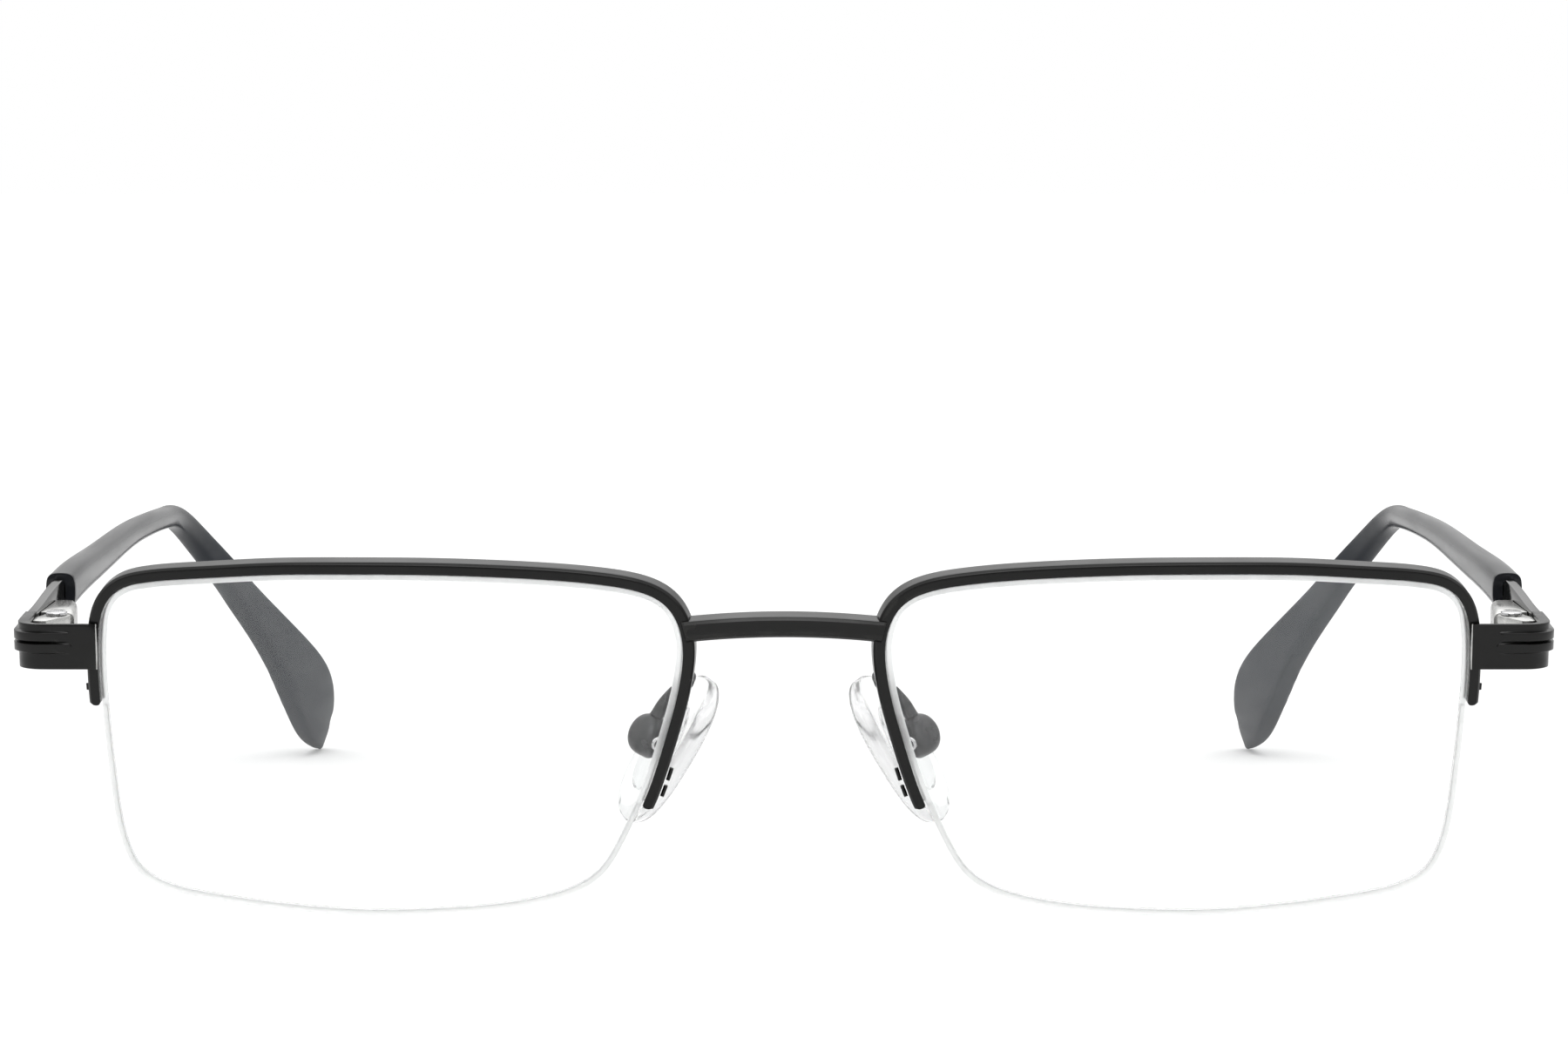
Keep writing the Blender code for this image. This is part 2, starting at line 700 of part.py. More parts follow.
def thread_knot(end, length, distance):
    """A knot of the thread, which shows outside its hole in the rim's end."""
    span = span_from_end(end, distance)
    middle = rim_place(span, RIM_OUTER + SEAT_GAP + KNOT_RADIUS, GROOVE_MIDDLE)
    along = (rim_place(span + NEARBY_SPAN, 0, 0) - rim_place(span - NEARBY_SPAN, 0, 0)).normalized()
    ends = [lifted(middle + along * length * side / 2) for side in (-1, 1)]
    return tube("thread_knot", ends, KNOT_RADIUS, ROUND_WIRE_STEPS)


# Bridge
def bridge():
    """A bar leaning like the lenses, arched up and bowed forward, whose ends lap over the half rims."""
    half, deep, chamfer = BRIDGE_HEIGHT / 2, BRIDGE_DEPTH, BRIDGE_CHAMFER
    section = [
        (-half + chamfer, 0), (half - chamfer, 0), (half, chamfer), (half, deep - chamfer),
        (half - chamfer, deep), (-half + chamfer, deep), (-half, deep - chamfer), (-half, chamfer),
    ]
    span = span_at_rise(BRIDGE_RISE, TOP_SPAN, RIM_SPANS)
    root = lifted(rim_place(span, RIM_OUTER - RIM_WIDTH * BRIDGE_LAP_SHARE, RIM_FRONT - BRIDGE_PROUD))
    along = rim_place(span + NEARBY_SPAN, 0, 0) - rim_place(span - NEARBY_SPAN, 0, 0)
    up = Vector((0, -math.sin(FRONT_TILT), math.cos(FRONT_TILT)))
    back = Vector((0, math.cos(FRONT_TILT), math.sin(FRONT_TILT)))
    rings = []
    for i in range(-BRIDGE_STEPS, BRIDGE_STEPS + 1):
        share = i / BRIDGE_STEPS
        middle = Vector(
            (
                root.x * share,
                root.y - BRIDGE_BOW * (1 - share**2),
                root.z + BRIDGE_DROP * (1 - share**2),
            )
        )
        skewed = up + Vector((along.x / along.z * share**BRIDGE_SKEW_POWER, 0, 0))
        rings.append([middle + skewed * v + back * w for v, w in section])
    made = loft("bridge", rings)
    for side in (1, -1):
        saddle = half_rim(BRAZE_GAP)
        saddle.data.transform(Matrix.Diagonal((side, 1, 1, 1)))
        if side < 0:
            saddle.data.flip_normals()
        made = cut(made, saddle)
    return made


# End piece
def end_piece():
    """A strip that laps over the rim, leans like the lens and turns back round the corner.

    It rises backwards, stands upright at its rear end, and carries two ribs that grow.
    """
    turn = END_CORNER_RADIUS
    corner = (WALL_OUTER_X - turn, END_FRONT_Y + turn)
    flat_start, flat_end = END_ROOT.x, corner[0]
    path = [(Vector((flat_start - RIM_WIDTH * END_LAP_SHARE, END_FRONT_Y)), Vector((0, -1)), 0.0)]
    for share, rib in RIB_GROWTH_SHARES:
        place = Vector((flat_start + (flat_end - flat_start) * share, END_FRONT_Y))
        path.append((place, Vector((0, -1)), rib))
    for i in range(CORNER_STEPS + 1):
        angle = QUARTER * (i / CORNER_STEPS - 1)
        out = Vector((math.cos(angle), math.sin(angle)))
        path.append((Vector(corner) + out * turn, out, 1.0))
    path.append((Vector((WALL_OUTER_X, HINGE.y - WALL_END_GAP)), Vector((1, 0)), 1.0))
    half, slope = END_HEIGHT / 2, RIB_GROOVE
    rings = []
    for place, out, rib in path:
        rise = RIB_RISE * rib
        outer = [
            (0, -half), (0, RIB_LIFT - RIB_HEIGHT - slope), (rise, RIB_LIFT - RIB_HEIGHT),
            (rise, RIB_LIFT - slope), (0, RIB_LIFT), (rise, RIB_LIFT + slope),
            (rise, RIB_LIFT + RIB_HEIGHT), (0, RIB_LIFT + RIB_HEIGHT + slope), (0, half),
        ]
        inner = [(-END_WALL, height) for _, height in reversed(outer)]
        lift = END_ROOT.z + (place.y - END_FRONT_Y) * LEAN_SLOPE
        lean = 0 if place is path[-1][0] else math.tan(FRONT_TILT)
        rings.append([
            Vector((*(place + out * depth - Vector((0, height * lean))), lift + height))
            for depth, height in outer + inner
        ])
    return cut(loft("end_piece", rings, ladder=True), half_rim(BRAZE_GAP))


# Hinge
def leaf_outline(shift):
    """A knuckle leaf seen along the pin: round the pin, and forward to its base on the wall."""
    outer = HINGE_INSET - BRAZE_GAP
    inner = outer - KNUCKLE_DEPTH
    return [
        *arc((0, 0), LEAF_RADIUS, 0, 2 * QUARTER, LEAF_STEPS),
        (-LEAF_RADIUS, -shift),
        (inner, -KNUCKLE_LENGTH), (outer, -KNUCKLE_LENGTH), (outer, -LEAF_RADIUS),
    ]


def front_knuckle():
    """Two leaves round the pin on one base, with the slider's eye between them."""
    low = EYE_THICKNESS / 2 + RUN_GAP
    high = low + LEAF_THICKNESS
    outer = HINGE_INSET - BRAZE_GAP
    base_rear = -LEAF_RADIUS - RUN_GAP
    made = box("front_knuckle", (outer - KNUCKLE_DEPTH, -KNUCKLE_LENGTH, -high), (outer, base_rear, high))
    for z in (low, -high):
        made = join(made, prism("leaf", leaf_outline(LEAF_RADIUS / 4), z, z + LEAF_THICKNESS))
    hole = PIN_RADIUS + PIN_GAP
    reach = high + CUT_OVERRUN
    made = cut(made, turned("hole", [(0, reach), (hole, reach), (hole, -reach), (0, -reach)]))
    return put(made, HINGE_FRAME)


def hinge_screw():
    """The pin with its slotted head on top."""
    high = EYE_THICKNESS / 2 + RUN_GAP + LEAF_THICKNESS
    neck = high + SEAT_GAP
    top = neck + PIN_HEAD_HEIGHT
    edge = PIN_HEAD_HEIGHT / 3
    made = turned(
        "hinge_screw",
        [(0, top), (PIN_HEAD_RADIUS - edge, top), (PIN_HEAD_RADIUS, top - edge),
         (PIN_HEAD_RADIUS, neck), (PIN_RADIUS, neck), (PIN_RADIUS, -high), (0, -high)],
    )
    half, reach = PIN_SLOT_WIDTH / 2, PIN_HEAD_RADIUS + CUT_OVERRUN
    slot = box("slot", (-reach, -half, top - PIN_SLOT_DEPTH), (reach, half, top + CUT_OVERRUN))
    return put(cut(made, slot), HINGE_FRAME)


def along_temple(piece):
    """Lays a solid turned about Z along the housing's bore."""
    piece.data.transform(Matrix.Translation((BORE_OFFSET, 0, 0)) @ Matrix.Rotation(-QUARTER, 4, "X"))
    return piece


HOUSING_END = HOUSING_FRONT + HOUSING_LENGTH
BORE_END = HOUSING_END - HOUSING_END_WALL
SHANK_END = BORE_END - STOP_NUT_SETBACK
NUT_END = SHANK_END - SEAT_GAP
NUT_START = NUT_END - STOP_NUT_LENGTH
BORE_START = HOUSING_FRONT + HOUSING_END_WALL


def spring_slider():
    """The eye between the leaves, and the shank that runs into the housing."""
    half = EYE_THICKNESS / 2
    neck = SHANK_RADIUS + RUN_GAP
    eye = prism("spring_slider", arc((0, 0), LEAF_RADIUS, 0, 4 * QUARTER, ROUND_SIDES)[:-1], -half, half)
    neck_end = HOUSING_FRONT - RUN_GAP
    neck_box = box("neck", (BORE_OFFSET - neck, 0, -half), (BORE_OFFSET + neck, neck_end, half))
    made = join(eye, neck_box)
    root = LEAF_RADIUS / 2 + SEAT_GAP
    shank = turned(
        "shank", [(0, SHANK_END), (SHANK_RADIUS, SHANK_END), (SHANK_RADIUS, root), (0, root)], SHANK_SIDES
    )
    made = join(made, along_temple(shank))
    hole, reach = PIN_RADIUS + PIN_GAP, half + CUT_OVERRUN
    made = cut(made, turned("hole", [(0, reach), (hole, reach), (hole, -reach), (0, -reach)]))
    return put(made, TEMPLE_FRAME)


def spring_housing():
    """A wedge on the temple plate, rounded on its inner side and bored for the spring."""
    outer = HINGE_INSET + SEAT_GAP
    half, edge = HOUSING_HEIGHT / 2, HOUSING_EDGE
    rear_reach = BORE_RADIUS + HOUSING_INNER_WALL - BORE_OFFSET
    rings = []
    for y, reach in ((HOUSING_FRONT, HOUSING_FRONT_REACH), (HOUSING_END, rear_reach)):
        section = [
            (outer, -half), (outer, half),
            *arc((edge - reach, half - edge), edge, QUARTER, 2 * QUARTER, EDGE_STEPS),
            *arc((edge - reach, edge - half), edge, 2 * QUARTER, 3 * QUARTER, EDGE_STEPS),
        ]
        rings.append([Vector((x, y, z)) for x, z in section])
    made = loft("spring_housing", rings)
    way = SHANK_RADIUS + PIN_GAP
    before = HOUSING_FRONT - CUT_OVERRUN
    bore = turned(
        "bore",
        [(0, BORE_END), (BORE_RADIUS, BORE_END), (BORE_RADIUS, BORE_START), (way, BORE_START),
         (way, before), (0, before)],
        BORE_SIDES,
    )
    return put(cut(made, along_temple(bore)), TEMPLE_FRAME)


def spring_stop():
    """The ring fixed near the end of the shank, against which the spring pushes."""
    hole = SHANK_RADIUS + PIN_GAP
    ring = turned(
        "spring_stop",
        [(hole, NUT_END), (STOP_NUT_RADIUS, NUT_END), (STOP_NUT_RADIUS, NUT_START), (hole, NUT_START),
         (hole, NUT_END)],
        BORE_SIDES,
    )
    return put(along_temple(ring), TEMPLE_FRAME)


def hinge_spring():
    """The coil between the housing's front wall and the stop."""
    start = BORE_START + SEAT_GAP + SPRING_WIRE_RADIUS
    end = NUT_START - SEAT_GAP - SPRING_WIRE_RADIUS
    radius = (SHANK_RADIUS + BORE_RADIUS) / 2
    count = SPRING_TURNS * COIL_POINTS
    points = []
    for i in range(count + 1):
        angle = 2 * math.pi * i / COIL_POINTS
        along = start + (end - start) * i / count
        points.append(Vector((BORE_OFFSET + radius * math.cos(angle), along, radius * math.sin(angle))))
    least = min(
        (a - b).length
        for i, a in enumerate(points)
        for b in points[i + COIL_POINTS // 2:]
    )
    print(f"hinge spring: least gap to itself {(least - 2 * SPRING_WIRE_RADIUS) / MM:.2f} mm")
    return put(tube("hinge_spring", points, SPRING_WIRE_RADIUS, WIRE_STEPS), TEMPLE_FRAME)


# Temple
PLATE_OFFSET = HINGE_INSET + 2 * SEAT_GAP + PLATE_THICKNESS / 2
MOUTH = TEMPLE_FRAME @ Vector((PLATE_OFFSET, SLEEVE_START, 0)) - HINGE
MOUTH_SHARE = MOUTH.y / TEMPLE_RUN
TEMPLE_ROWS = ((MOUTH_SHARE, *MOUTH_SHARES), *TEMPLE_SHARES)


def temple_row(run_share, tip_drop):
    """The temple's middle, thickness, height and twist at a share of its run."""
    knots = [row[0] for row in TEMPLE_ROWS]
    rows = [row[1:] for row in TEMPLE_ROWS]
    arch, drop, side, inset, thick, high, twist = smooth_row(knots, rows, run_share)
    middle = HINGE + Vector(
        (
            MOUTH.x * side - TIP_INSET * inset,
            TEMPLE_RUN * run_share,
            TEMPLE_ARCH * arch - tip_drop * drop,
        )
    )
    return middle, thick, high, twist * TIP_TWIST


def rounded_section(thickness, height, rounding):
    """A rectangle with cut corners, in X and Z, as twelve points."""
    a, b = thickness / 2, height / 2
    r = min(rounding, a * ROUNDEST_SHARE, b * ROUNDEST_SHARE)
    bite = r * (1 - math.sqrt(0.5))
    quarter = [(a, b - r), (a - bite, b - bite), (a - r, b)]
    points = list(quarter)
    points += [(-x, z) for x, z in reversed(quarter)]
    points += [(-x, -z) for x, z in quarter]
    points += [(x, -z) for x, z in reversed(quarter)]
    return points


def temple_ring(run_share, tip_drop, section):
    """A section set square to the temple's middle line, upright but for its twist."""
    middle, _, _, twist = temple_row(run_share, tip_drop)
    low, high = max(run_share - NEARBY_SHARE, MOUTH_SHARE), min(run_share + NEARBY_SHARE, 1.0)
    along = (temple_row(high, tip_drop)[0] - temple_row(low, tip_drop)[0]).normalized()
    out = (Vector((1, 0, 0)) - along * along.x).normalized()
    turn = Matrix.Rotation(-twist, 3, along)
    out = turn @ out
    up = out.cross(along)
    return [middle + out * x + up * z for x, z in section]


def sleeve_rings(tip_drop):
    rings = []
    for i in range(SLEEVE_STEPS + 1):
        share = MOUTH_SHARE + (1 - MOUTH_SHARE) * i / SLEEVE_STEPS
        _, thick, high, _ = temple_row(share, tip_drop)
        section = rounded_section(SLEEVE_THICKNESS * thick, SLEEVE_HEIGHT * high, SLEEVE_ROUNDING)
        rings.append(temple_ring(share, tip_drop, section))
    return rings


def lowest(rings):
    return min(point.z for ring in rings for point in ring)


def settled_drop():
    """The drop with which the temple tips just touch the table."""
    drop = HINGE.z
    for _ in range(SETTLE_ROUNDS):
        drop = drop + lowest(sleeve_rings(drop))
    return drop


TIP_DROP = settled_drop()


def core_rings(grow=0.0):
    """The core wire's sections inside the sleeve, or, when grown, the slot's."""
    a, b = CORE_THICKNESS / 2 + grow, CORE_HEIGHT / 2 + grow
    section = [(-a, -b), (a, -b), (a, b), (-a, b)]
    step = (CORE_END_SHARE - MOUTH_SHARE) / SLEEVE_STEPS
    return [temple_ring(MOUTH_SHARE + step * i, TIP_DROP, section) for i in range(SLEEVE_STEPS + 1)]


def temple_sleeve():
    """The plastic arm, slotted from its mouth for the core wire."""
    slot = core_rings(SEAT_GAP)
    into = (slot[1][0] - slot[0][0]).normalized()
    onwards = (slot[-1][0] - slot[-2][0]).normalized()
    slot.insert(0, [p - into * CUT_OVERRUN for p in slot[0]])
    slot.append([p + onwards * SEAT_GAP for p in slot[-1]])
    return cut(loft("temple_sleeve", sleeve_rings(TIP_DROP)), loft("slot", slot))


def temple_plate():
    """The flat blade beside the housing, which narrows into the core wire at the sleeve's mouth."""
    start = -PLATE_START_GAP
    end = SLEEVE_START - SEAT_GAP
    a = PLATE_THICKNESS / 2
    rings = []
    for share, foot, top in PLATE_SHARES:
        run = start + (end - start) * share
        middle = TEMPLE_FRAME @ Vector((PLATE_OFFSET, run, 0))
        out = TEMPLE_FRAME.to_3x3() @ Vector((1, 0, 0))
        low = HINGE.z + foot * END_HEIGHT
        high = HINGE.z + top * END_HEIGHT
        sides = [middle - out * a, middle + out * a]
        rings.append([p.xy.to_3d() + Vector((0, 0, low)) for p in sides])
        rings[-1] += [p.xy.to_3d() + Vector((0, 0, high)) for p in reversed(sides)]
    return loft("temple_plate", rings + core_rings())


# Nose pads, drawn with the pad screw at zero
PAD_FACE = PAD_SCREW_BACK - PAD_THICKNESS / 2
BOX_MOUTH = PAD_FACE - PAD_TO_BOX
BOX_FLOOR = BOX_MOUTH - BOX_DEPTH


def box_side(grow=0.0):
    """The pad box's outside, from its mouth down to its rounded floor, as radius and height."""
    turn = BOX_ROUNDING
    corner = arc((BOX_RADIUS - turn, BOX_FLOOR + turn), turn + grow, 0, -QUARTER, EDGE_STEPS)
    return [(BOX_RADIUS + grow, BOX_MOUTH + grow), *corner, (0, BOX_FLOOR - grow)]


def pad_arm():
    """The wire from the back of the rim to the top of the pad box, whose side its end fits."""
    span = span_at_rise(ARM_RISE, TOP_SPAN, RIM_SPANS)
    slope_room = ARM_RADIUS * LENS_WIDTH / (2 * LENS_CURVE_RADIUS)
    seat_back = RIM_REAR + BRAZE_GAP + slope_room
    root = lifted(rim_place(span, (RIM_INNER + RIM_OUTER) / 2, seat_back))
    middle_depth = (BOX_MOUTH + BOX_FLOOR) / 2
    seat = PAD_FRAME @ Vector((0, BOX_RADIUS + BRAZE_GAP, middle_depth))
    end = PAD_FRAME @ Vector((0, BOX_RADIUS - ARM_RADIUS, middle_depth))
    corners = [
        root,
        root + LENS_BACK * ARM_ROOT_LENGTH,
        seat + PAD_UP * ARM_DROP_LENGTH,
        seat,
    ]
    knots = [0.0]
    for a, b in zip(corners, corners[1:]):
        knots.append(knots[-1] + (b - a).length)
    points = [
        Vector(smooth_row(knots, corners, knots[-1] * i / ARM_STEPS)) for i in range(ARM_STEPS + 1)
    ]
    points.insert(1, root + LENS_BACK * ARM_RADIUS)
    points.append(end)
    wire = as_mesh(tube("pad_arm", points, ARM_RADIUS, ROUND_WIRE_STEPS))
    saddle = turned("saddle", [(0, BOX_MOUTH + BRAZE_GAP), *box_side(BRAZE_GAP)])
    return cut(wire, put(saddle, PAD_FRAME))


def pad_box():
    """A turned cup with a rounded back, open towards the pad, with a cross hole for the screw."""
    wall, turn = BOX_WALL, BOX_ROUNDING
    inner = BOX_RADIUS - wall
    cup = turned(
        "pad_box",
        [(0, BOX_FLOOR + wall), (inner - turn / 2, BOX_FLOOR + wall), (inner, BOX_FLOOR + wall + turn / 2),
         (inner, BOX_MOUTH), *box_side()],
    )
    reach, hole = BOX_RADIUS + CUT_OVERRUN, PAD_PIN_RADIUS + PIN_GAP
    drill = turned("drill", [(0, reach), (hole, reach), (hole, -reach), (0, -reach)], BORE_SIDES)
    drill.data.transform(Matrix.Rotation(QUARTER, 4, "Y"))
    return put(cut(cup, drill), PAD_FRAME)


def pad_screw():
    end = BOX_RADIUS
    head = end + SEAT_GAP
    top = head + PAD_PIN_HEAD_LENGTH
    made = turned(
        "pad_screw",
        [(0, top), (PAD_PIN_HEAD_RADIUS, top), (PAD_PIN_HEAD_RADIUS, head), (PAD_PIN_RADIUS, head),
         (PAD_PIN_RADIUS, -end), (0, -end)],
        BORE_SIDES,
    )
    made.data.transform(Matrix.Rotation(QUARTER, 4, "Y"))
    return put(made, PAD_FRAME)


def oval(half_length, half_width, count):
    return [
        (half_width * math.cos(2 * math.pi * i / count), half_length * math.sin(2 * math.pi * i / count))
        for i in range(count)
    ]


def pad_core(grow=0.0):
    """The hard insert: an oval plate in the pad's back, and the eye on the screw.

    Grown, it is the plate's pocket in the soft pad.
    """
    length, width = INSERT_LENGTH / 2 + grow, INSERT_WIDTH / 2 + grow
    shift = -PAD_EYE_RISE
    outline = [(x, y + shift) for x, y in oval(length, width, ROUND_SIDES)]
    if grow:
        return put(
            prism("pocket", outline, PAD_FACE - CUT_OVERRUN, PAD_FACE + INSERT_THICKNESS + grow), PAD_FRAME
        )
    made = prism("pad_core", outline, PAD_FACE, PAD_FACE + INSERT_THICKNESS)
    hole = PAD_PIN_RADIUS + PIN_GAP
    half = hole + POST_WALL
    made = join(made, box("post", (-half, -half, 0), (half, half, PAD_FACE + INSERT_THICKNESS / 2)))
    eye = turned("eye", [(0, half), (half, half), (half, -half), (0, -half)])
    eye.data.transform(Matrix.Rotation(QUARTER, 4, "Y"))
    made = join(made, eye)
    reach = half + CUT_OVERRUN
    drill = turned("drill", [(0, reach), (hole, reach), (hole, -reach), (0, -reach)], BORE_SIDES)
    drill.data.transform(Matrix.Rotation(QUARTER, 4, "Y"))
    return put(cut(made, drill), PAD_FRAME)


def nose_pad():
    """The soft pad: flat towards the box, crowned towards the nose, rounded to a drop shape."""
    rings = []
    for place, width, thick in PAD_SHARES:
        a = PAD_WIDTH / 2 * width
        y = PAD_LENGTH * place - PAD_EYE_RISE
        back = PAD_THICKNESS * (1 - thick) / 2 + PAD_FACE
        front = back + PAD_THICKNESS * thick
        deep = front - back
        half = [(a * x, back + deep * z) for x, z in PAD_SECTION_SHARES]
        section = [(0, back), *half, (0, front), *((-x, z) for x, z in reversed(half))]
        rings.append([Vector((x, y, z)) for x, z in section])
    made = put(loft("nose_pad", rings), PAD_FRAME)
    return cut(made, pad_core(SEAT_GAP))


# The whole pair
def build_side(label, side):
    """All pieces of one side: side is 1 for the left and -1 for the right."""
    hinge = Vector((HINGE.x * side, HINGE.y, HINGE.z))
    pad = Vector((PAD_PIVOT.x * side, PAD_PIVOT.y, PAD_PIVOT.z))
    fold = new_carrier(f"{label}_fold_axis", hinge, ROOT)
    flex = new_carrier(f"{label}_flex_axis", hinge, fold)
    slide = new_carrier(f"{label}_slide_axis", hinge, flex)
    rock = new_carrier(f"{label}_pad_axis", pad, ROOT)
    for name, draw, finish, carrier in (
        ("half_rim", half_rim, BLACK_METAL, ROOT),
        ("lens", lens, LENS_PLASTIC, ROOT),
        ("nylon_liner", nylon_liner, NYLON, ROOT),
        ("nylon_thread", nylon_thread, NYLON, ROOT),
        ("end_piece", end_piece, BLACK_METAL, ROOT),
        ("front_knuckle", front_knuckle, DARK_STEEL, ROOT),
        ("pad_arm", pad_arm, DARK_STEEL, ROOT),
        ("pad_box", pad_box, DARK_STEEL, ROOT),
        ("pad_screw", pad_screw, STEEL, ROOT),
        ("pad_core", pad_core, CLEAR_PLASTIC, rock),
        ("nose_pad", nose_pad, CLEAR_SILICONE, rock),
        ("hinge_screw", hinge_screw, STEEL, fold),
        ("spring_slider", spring_slider, STEEL, flex),
        ("spring_stop", spring_stop, STEEL, flex),
        ("hinge_spring", hinge_spring, STEEL, slide),
        ("spring_housing", spring_housing, DARK_STEEL, slide),
        ("temple_plate", temple_plate, BLACK_METAL, slide),
        ("temple_sleeve", temple_sleeve, BLACK_PLASTIC, slide),
    ):
        adopt(draw(), f"{label}_{name}", finish, side, carrier)
    for name, *place in KNOTS:
        adopt(thread_knot(*place), f"{label}_{name}", BLACK_PLASTIC, side, ROOT)


def stand_on_origin():
    """Moves the whole pair so that its zero is under the middle of its box, on the table."""
    bpy.context.view_layer.update()
    corners = [
        piece.matrix_world @ Vector(corner)
        for piece in PARTS.objects
        if piece.type != "EMPTY"
        for corner in piece.bound_box
    ]
    low = Vector([min(c[i] for c in corners) for i in range(3)])
    high = Vector([max(c[i] for c in corners) for i in range(3)])
    ROOT.location = Vector((0, -(low.y + high.y) / 2, -low.z))
    bpy.context.view_layer.update()
    print("box, mm:", [round(v / MM, 2) for v in high - low])
    for label, frame, column in (("pin", HINGE_FRAME, 2), ("slide", TEMPLE_FRAME, 1), ("pad", PAD_FRAME, 0)):
        print(f"left {label} direction:", [round(v, 5) for v in frame.col[column].xyz])
    for empty in PARTS.objects:
        if empty.type == "EMPTY":
            print(empty.name, "at, mm:", [round(v / MM, 4) for v in empty.matrix_world.translation])


for side_label, side_sign in (("left", 1), ("right", -1)):
    build_side(side_label, side_sign)
adopt(bridge(), "bridge", BLACK_METAL, 1, ROOT)
stand_on_origin()
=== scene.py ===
"""The looks of the semi-rimless eyeglasses: smooth pieces, materials, studio and camera round the frame.

Units are metres. The camera stands where the photograph was taken from, and everything else takes its
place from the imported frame.
"""

import json
import math

import bmesh
import bpy
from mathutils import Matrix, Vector

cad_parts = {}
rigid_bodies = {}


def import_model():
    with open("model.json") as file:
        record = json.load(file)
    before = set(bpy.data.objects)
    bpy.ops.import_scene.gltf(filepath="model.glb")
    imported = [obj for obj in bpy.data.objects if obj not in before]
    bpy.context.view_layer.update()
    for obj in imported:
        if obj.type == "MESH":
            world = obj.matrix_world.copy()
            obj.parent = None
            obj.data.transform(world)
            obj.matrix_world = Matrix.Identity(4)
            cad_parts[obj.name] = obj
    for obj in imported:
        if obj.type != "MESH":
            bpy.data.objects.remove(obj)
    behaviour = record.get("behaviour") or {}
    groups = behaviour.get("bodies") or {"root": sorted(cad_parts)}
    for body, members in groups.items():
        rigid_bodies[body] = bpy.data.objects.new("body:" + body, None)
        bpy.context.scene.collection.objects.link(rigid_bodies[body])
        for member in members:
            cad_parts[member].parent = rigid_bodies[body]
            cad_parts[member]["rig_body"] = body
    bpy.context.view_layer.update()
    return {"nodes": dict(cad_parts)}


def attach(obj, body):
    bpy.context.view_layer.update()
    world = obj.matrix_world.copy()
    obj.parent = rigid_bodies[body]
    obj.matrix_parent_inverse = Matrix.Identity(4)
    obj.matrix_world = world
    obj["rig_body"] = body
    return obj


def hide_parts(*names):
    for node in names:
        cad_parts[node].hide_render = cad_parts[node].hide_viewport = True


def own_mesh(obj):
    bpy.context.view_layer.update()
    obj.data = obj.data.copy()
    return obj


MM = 0.001
DEG = math.pi / 180
SIDES = ("left", "right")

# Camera: its place, how far it looks down, its lens and sensor in millimetres, and how near it sees
CAMERA_PLACE = Vector((0.0, -0.5662, 0.0715))
CAMERA_TILT = 4.03 * DEG
CAMERA_LENS = 126.4
CAMERA_SENSOR = 36.0
CAMERA_NEAR = 0.01

# Pale table: its reach, its edge towards the camera, and how much whiter than its own light it is seen,
# from one distance from the object to another
FLOOR_COLOUR = (0.86, 0.86, 0.86)
FLOOR_ROUGHNESS = 0.9
FLOOR_REACH = 6.0
FLOOR_FRONT = -0.30
FLOOR_LIFTS = (0.14, 0.34)
FLOOR_LIFT_PLACES = (0.12, 0.6)

# World: what lights the object, and what its gloss shows, in front of it, behind it, and added overhead.
# The first two change over a range of the direction's Y, the last one comes in over a range of its Z.
LIGHT_LEVELS = (0.30, 0.88, 0.15)
GLOSS_LEVELS = (0.20, 0.74, 0.78)
FRONT_TO_BACK = (-0.9, 0.1)
LOW_TO_HIGH = (0.3, 0.5)

# Softboxes, which aim at the frame's origin: name, place, size and power
SOFTBOXES = (
    ("top_box", (0.0, 0.1, 0.8), (0.9, 0.6), 0.8),
    ("front_box", (0.0, -0.75, 0.75), (0.7, 0.7), 4.7),
)

# Materials: the part of a noise that is used from end to end, and the dark and light of each colour
NOISE_SPREAD = (0.3, 0.7)
# The lacquer's light colour is only a painted highlight on its edges
LACQUER_AND_HIGHLIGHT_COLOURS = ((0.0035, 0.0035, 0.0032), (0.016, 0.016, 0.0145))
POLISHED_COLOURS = ((0.010, 0.011, 0.013), (0.015, 0.016, 0.019))
FROSTED_COLOURS = ((0.007, 0.010, 0.015), (0.016, 0.021, 0.029))
# Where along Y the sleeve's plastic turns from polished to satin, and how much rougher it gets
SATIN_PLACES = (0.022, 0.046)
SATIN_ROUGHNESS = 0.34
# How deep the grain is, on dark stuff and in clear stuff
FINE_GRAIN = 0.02 * MM
CLEAR_GRAIN = 0.04 * MM

# Smooth copies: corners closer than this are one, faces flatter than this are one, and edges over this
# angle are shaded sharp
MERGED_WITHIN = 0.001 * MM
FLAT_WITHIN = 20 * DEG
ANY_SHAPE = 180 * DEG
SHARP_OVER = 50 * DEG
ROUNDING_STEPS = 2
# Edges over these angles stay edges: on bars, on machined pieces, and on drawn or moulded ones
BAR_CREASE = 30 * DEG
MACHINED_CREASE = 50 * DEG
ROUND_CREASE = 60 * DEG
MACHINED = {"crease": MACHINED_CREASE, "levels": 0}

